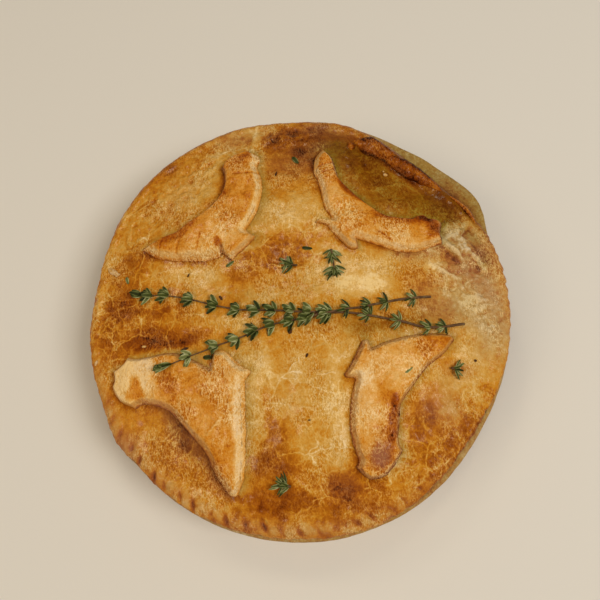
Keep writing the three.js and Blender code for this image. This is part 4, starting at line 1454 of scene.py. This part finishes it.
# Cream of painted glints and highlights on the glaze
GLINT = srgb(252, 216, 152)
LAYER_BROWN = srgb(150, 100, 48)
LEAF_GREENS = [
    (0.15, srgb(30, 36, 8)),
    (0.42, srgb(76, 84, 32)),
    (0.70, srgb(146, 150, 92)),
    (1.00, srgb(212, 212, 166)),
]
LEAF_UNDERSIDE = srgb(146, 150, 106)
STEM_BROWNS = [(0.3, srgb(72, 50, 30)), (0.55, srgb(108, 78, 52)), (0.75, srgb(124, 114, 72))]
DRIED_BROWNS = [(0.3, srgb(44, 26, 14)), (0.7, srgb(96, 58, 30))]
FLOOR_PALE = srgb(226, 221, 212)
PastryLook = namedtuple("PastryLook", "colours fleck speck stroke crinkle coat layered")
LID_LOOK = PastryLook(LID_COLOURS, fleck=0.05, speck=0.08, stroke=0.52, crinkle=0.10, coat=0.5,
                      layered=False)
CASE_LOOK = PastryLook(LID_COLOURS, fleck=0.08, speck=0.2, stroke=0.1, crinkle=0.06, coat=0.0,
                       layered=False)
HEN_LOOK = PastryLook(HEN_COLOURS, fleck=0.07, speck=0.12, stroke=0.8, crinkle=0.13, coat=0.5,
                      layered=True)
PastryMarks = namedtuple("PastryMarks", "fine medium ripple wrinkle speck")


def pastry_marks(tree, place):
    """Fine marks of baked pastry: grain, blisters, ripples, brush wrinkles, whose ridges also carry painted
    highlights, and specks for painted glints.
    """
    somewhere = remap(tree, noise_value(tree, place, 60.0), 0.4, 0.6, 0.25, 1.0)
    rolled = add(tree, "ShaderNodeMapping", {"Vector": place, "Scale": (1.5, 0.7, 1.0)}).outputs[0]
    wrinkle = off_from(tree, noise_value(tree, rolled, 480.0, 2.0), 0.5)
    wrinkle = remap(tree, wrinkle, 0.0, 0.13, 1.0, -1.0)
    speck = remap(tree, noise_value(tree, place, 950.0, 2.0), 0.58, 0.67, 0.0, 1.0)
    return PastryMarks(fine=noise_value(tree, place, 1100.0, 1.0), medium=noise_value(tree, place, 260.0),
                       ripple=noise_value(tree, place, 420.0, 2.0, 0.5),
                       wrinkle=times(tree, wrinkle, somewhere), speck=times(tree, speck, somewhere))


def glaze_cracks(tree, place, scale, half_width):
    """Crack lines between islands of glaze, from 0 to 1, and a shade from -0.5 to 0.5 for each island."""
    inputs = {"Vector": place, "Scale": 2 * scale, "Detail": 3.0}
    drift = add(tree, "ShaderNodeTexNoise", inputs).outputs["Color"]
    drift = moved(tree, "SUBTRACT", drift, {1: (0.5, 0.5, 0.5)})
    drift = moved(tree, "SCALE", drift, {"Scale": 0.5 / scale})
    cells = {"Vector": moved(tree, "ADD", place, {1: drift}), "Scale": scale}
    shade = add(tree, "ShaderNodeTexVoronoi", cells).outputs["Color"]
    shade = add(tree, "ShaderNodeSeparateColor", {0: shade}).outputs[0]
    edge = add(tree, "ShaderNodeTexVoronoi", cells, feature="DISTANCE_TO_EDGE").outputs["Distance"]
    gaps = remap(tree, noise_value(tree, place, 1.7 * scale), 0.38, 0.52, 0.0, 1.0)
    line = times(tree, remap(tree, edge, 0.2 * half_width, half_width, 1.0, 0.0), gaps)
    return line, calculate(tree, "SUBTRACT", shade, 0.5)


def pastry_bake(tree, place, marks, look):
    """The mesh's bake with its islands of glaze, their cracks and the marks, the wrinkles' ridges paler as
    painted highlight, and the crack lines alone.
    """
    cracks = field(tree, "cracks")
    wide, island = glaze_cracks(tree, place, 50.0, 0.034)
    narrow, chip = glaze_cracks(tree, place, 150.0, 0.09)
    lines = times(tree, calculate(tree, "MAXIMUM", wide, times(tree, narrow, 0.5)), cracks)
    bake = added(tree, field(tree, "bake"),
                 (times(tree, island, cracks), 0.22),
                 (times(tree, chip, cracks), 0.10),
                 (about_zero(tree, marks.fine), look.fleck),
                 (about_zero(tree, marks.medium), 0.08),
                 (lines, -0.36),
                 (times(tree, about_zero(tree, marks.ripple), field(tree, "dull")), 0.12),
                 (marks.wrinkle, -look.crinkle))
    return bake, lines


def dulled(tree, colour, dull):
    """The colour where the pastry is dull, and where shade is painted: greyer and darker."""
    inputs = {"Color": colour, "Saturation": remap(tree, dull, 0.0, 1.0, 1.0, 0.88),
              "Value": remap(tree, dull, 0.0, 1.0, 1.0, 0.78)}
    return add(tree, "ShaderNodeHueSaturation", inputs).outputs["Color"]


def dusted(tree, colour):
    """The colour turned dusty pink where the mesh's tint is above 0."""
    return blend(tree, remap(tree, field(tree, "tint"), 0.0, 1.0, 0.0, 0.75), colour, DUSTY_PINK)


def shaded(tree, colour):
    """The colour made olive and darker where the mesh's tint is below 0: unglazed olive pastry, and painted
    shade.
    """
    return blend(tree, remap(tree, field(tree, "tint"), -1.0, 0.0, 1.0, 0.0), colour, OLIVE_AND_SHADE, "MULTIPLY")


def pastry_colour(tree, place, bake, marks, look):
    """Colour of the bake, as dull and tinted as the mesh says, with painted glints: pale specks, and pale
    strokes along the wrinkles.
    """
    dull = field(tree, "dull")
    colour = dusted(tree, dulled(tree, ramp(tree, bake, look.colours), dull))
    amber = remap(tree, noise_value(tree, place, 48.0), 0.4, 0.62, 0.0, 0.7)
    colour = blend(tree, amber, colour, AMBER, "MULTIPLY")
    # Painted glints: pale specks, and pale strokes along the wrinkles where the pastry is paler
    colour = blend(tree, times(tree, marks.speck, look.speck), colour, GLINT)
    glint_strokes = remap(tree, marks.wrinkle, 0.3, 0.9, 0.0, look.stroke)
    where_pale = added(tree, remap(tree, bake, 0.25, 0.55, 1.0, 0.15), (dull, 0.5))
    return shaded(tree, blend(tree, times(tree, glint_strokes, where_pale), colour, GLINT))


def layer_lines(tree, place, colour, height):
    """A flaky layer that shows as a line along the cut side of a piece of pastry."""
    level = added(tree, field(tree, "level"), (noise_value(tree, place, 160.0), 1.6))
    line = remap(tree, off_from(tree, level, LAYER_LEVEL), 0.0, 0.22, 1.0, 0.0)
    broken = remap(tree, noise_value(tree, place, 240.0), 0.42, 0.6, 0.0, 0.5)
    dark = times(tree, line, broken)
    dark = times(tree, dark, field(tree, "cut"))
    return blend(tree, dark, colour, LAYER_BROWN), added(tree, height, (dark, -0.6))


def pastry_material(name, look):
    """Baked pastry with an egg glaze, which follows the fields kept on the mesh."""
    material, tree, shader = new_material(name)
    place = place_on_piece(tree)
    marks = pastry_marks(tree, place)
    bake, lines = pastry_bake(tree, place, marks, look)
    colour = pastry_colour(tree, place, bake, marks, look)
    height = added(tree, marks.ripple, (marks.fine, 0.1), (marks.medium, 0.5), (marks.wrinkle, 0.1),
                   (lines, 0.15))
    if look.layered:
        colour, height = layer_lines(tree, place, colour, height)
    connect(tree, shader, {
        "Base Color": colour,
        "Roughness": remap(tree, marks.medium, 0.3, 0.7, 0.42, 0.6),
        "Normal": relief(tree, height, 0.9, 1.2),
        "Specular IOR Level": 0.1,
        "Coat Weight": remap(tree, bake, 0.75, 0.95, look.coat, 0.25 * look.coat),
        "Coat Roughness": 0.18,
    })
    return material


def leaf_material():
    """Green leaf, paler towards its edges and below, each leaf in its own tone."""
    material, tree, shader = new_material("thyme_leaf_green")
    mottle = noise_value(tree, place_on_piece(tree), 900.0)
    edge = calculate(tree, "POWER", field(tree, "rib"), 2.0)
    shade = added(tree, times(tree, edge, 0.55), (mottle, 0.25), (field(tree, "tone"), 0.4))
    below = remap(tree, field(tree, "top"), -0.6, 0.1, 0.7, 0.0)
    connect(tree, shader, {
        "Base Color": blend(tree, below, ramp(tree, shade, LEAF_GREENS), LEAF_UNDERSIDE),
        "Roughness": remap(tree, mottle, 0.3, 0.7, 0.36, 0.55),
        "Normal": relief(tree, mottle, 0.4, 0.3),
        "Specular IOR Level": 0.4,
    })
    return material


def dry_material(name, scale, detail, browns):
    """Dry stem or leaf with uneven brown streaks."""
    material, tree, shader = new_material(name)
    streak = noise_value(tree, place_on_piece(tree), scale, detail)
    connect(tree, shader, {
        "Base Color": ramp(tree, streak, browns),
        "Roughness": remap(tree, streak, 0.3, 0.7, 0.5, 0.7),
    })
    return material


# Stage: camera, floor and soft studio light

def make_camera():
    look = Vector((0, math.sin(TILT), -math.cos(TILT)))
    up = Vector((0, math.cos(TILT), math.sin(TILT)))
    right = Vector((1, 0, 0))
    camera_x = right * math.cos(ROLL_ANGLE) - up * math.sin(ROLL_ANGLE)
    camera_y = right * math.sin(ROLL_ANGLE) + up * math.cos(ROLL_ANGLE)
    data = bpy.data.cameras.new("photo_view")
    data.sensor_width = SENSOR
    data.lens = SENSOR * FOCAL_PIXELS / FRAME_PIXELS
    data.clip_start = 0.01
    camera = bpy.data.objects.new("photo_view", data)
    turn = Matrix((camera_x, camera_y, -look)).transposed()
    camera.matrix_world = Matrix.Translation(Vector(EYE) * MM) @ turn.to_4x4()
    bpy.context.scene.collection.objects.link(camera)
    bpy.context.scene.camera = camera


def make_floor():
    bm = bmesh.new()
    bmesh.ops.create_grid(bm, x_segments=4, y_segments=4, size=3.0)
    mesh = mesh_of(bm, "floor")
    material, tree, shader = new_material("floor_pale")
    connect(tree, shader, {"Base Color": FLOOR_PALE, "Roughness": 0.8})
    mesh.materials.append(material)
    floor = bpy.data.objects.new("floor", mesh)
    bpy.context.scene.collection.objects.link(floor)


# A light without glints lights the pie but isn't mirrored in its glaze. Places and sizes are in metres.
Light = namedtuple("Light", "name place size power colour glints")
LAMP_DISTANCE = 2.0
LAMP_DIRECTIONS = [(-0.34, -0.15, 0.93), (0.46, -0.16, 0.87), (-0.3, 0.5, 0.81), (0.12, 0.45, 0.88)]
LAMP_COLOUR = (1.0, 0.87, 0.64)


def studio_lights():
    lights = [
        Light("window", Vector((1.15, -0.5, 1.65)), 0.8, 21.0, (1.0, 0.97, 0.92), False),
        Light("warm_fill", Vector((-1.1, -0.4, 1.3)), 0.8, 7.0, (1.0, 0.8, 0.55), False),
    ]
    for k, direction in enumerate(LAMP_DIRECTIONS):
        lights.append(Light(f"lamp_{k}", LAMP_DISTANCE * Vector(direction), 0.3, 2.0, LAMP_COLOUR, True))
    return lights


def make_light(light):
    """A soft square light that looks at the pie."""
    data = bpy.data.lights.new(light.name, "AREA")
    data.size = light.size
    data.energy = light.power
    data.color = light.colour
    holder = bpy.data.objects.new(light.name, data)
    holder.location = light.place
    holder.rotation_euler = (-light.place).to_track_quat("-Z", "Y").to_euler()
    holder.visible_glossy = light.glints
    bpy.context.scene.collection.objects.link(holder)


def make_backdrop():
    """Faint light from all round, which isn't mirrored in the glaze."""
    world = bpy.data.worlds.new("studio")
    bpy.context.scene.world = world
    world.use_nodes = True
    background = world.node_tree.nodes["Background"]
    connect(world.node_tree, background, {"Color": (1.0, 0.985, 0.96, 1.0), "Strength": 0.18})
    world.cycles_visibility.glossy = False


# Putting the pie together

make_camera()
make_floor()
for studio_light in studio_lights():
    make_light(studio_light)
make_backdrop()
bpy.context.scene.view_settings.view_transform = "Standard"

lid_pastry = pastry_material("glazed_lid_pastry", LID_LOOK)
make_lid(lid_pastry)
make_roll_lobes(lid_pastry)
make_case(pastry_material("case_pastry", CASE_LOOK))
hen_pastry = pastry_material("glazed_hen_pastry", HEN_LOOK)
for hen_name, hen_stretches in HENS.items():
    make_hen(hen_name, hen_stretches, hen_pastry)
leaf_green = leaf_material()
make_thyme(leaf_green, dry_material("thyme_stem_brown", 420.0, 4.0, STEM_BROWNS))
make_loose_leaves(leaf_green)
make_crumbs(lid_pastry)
make_dark_bits(dry_material("dried_thyme_brown", 1200.0, 3.0, DRIED_BROWNS))
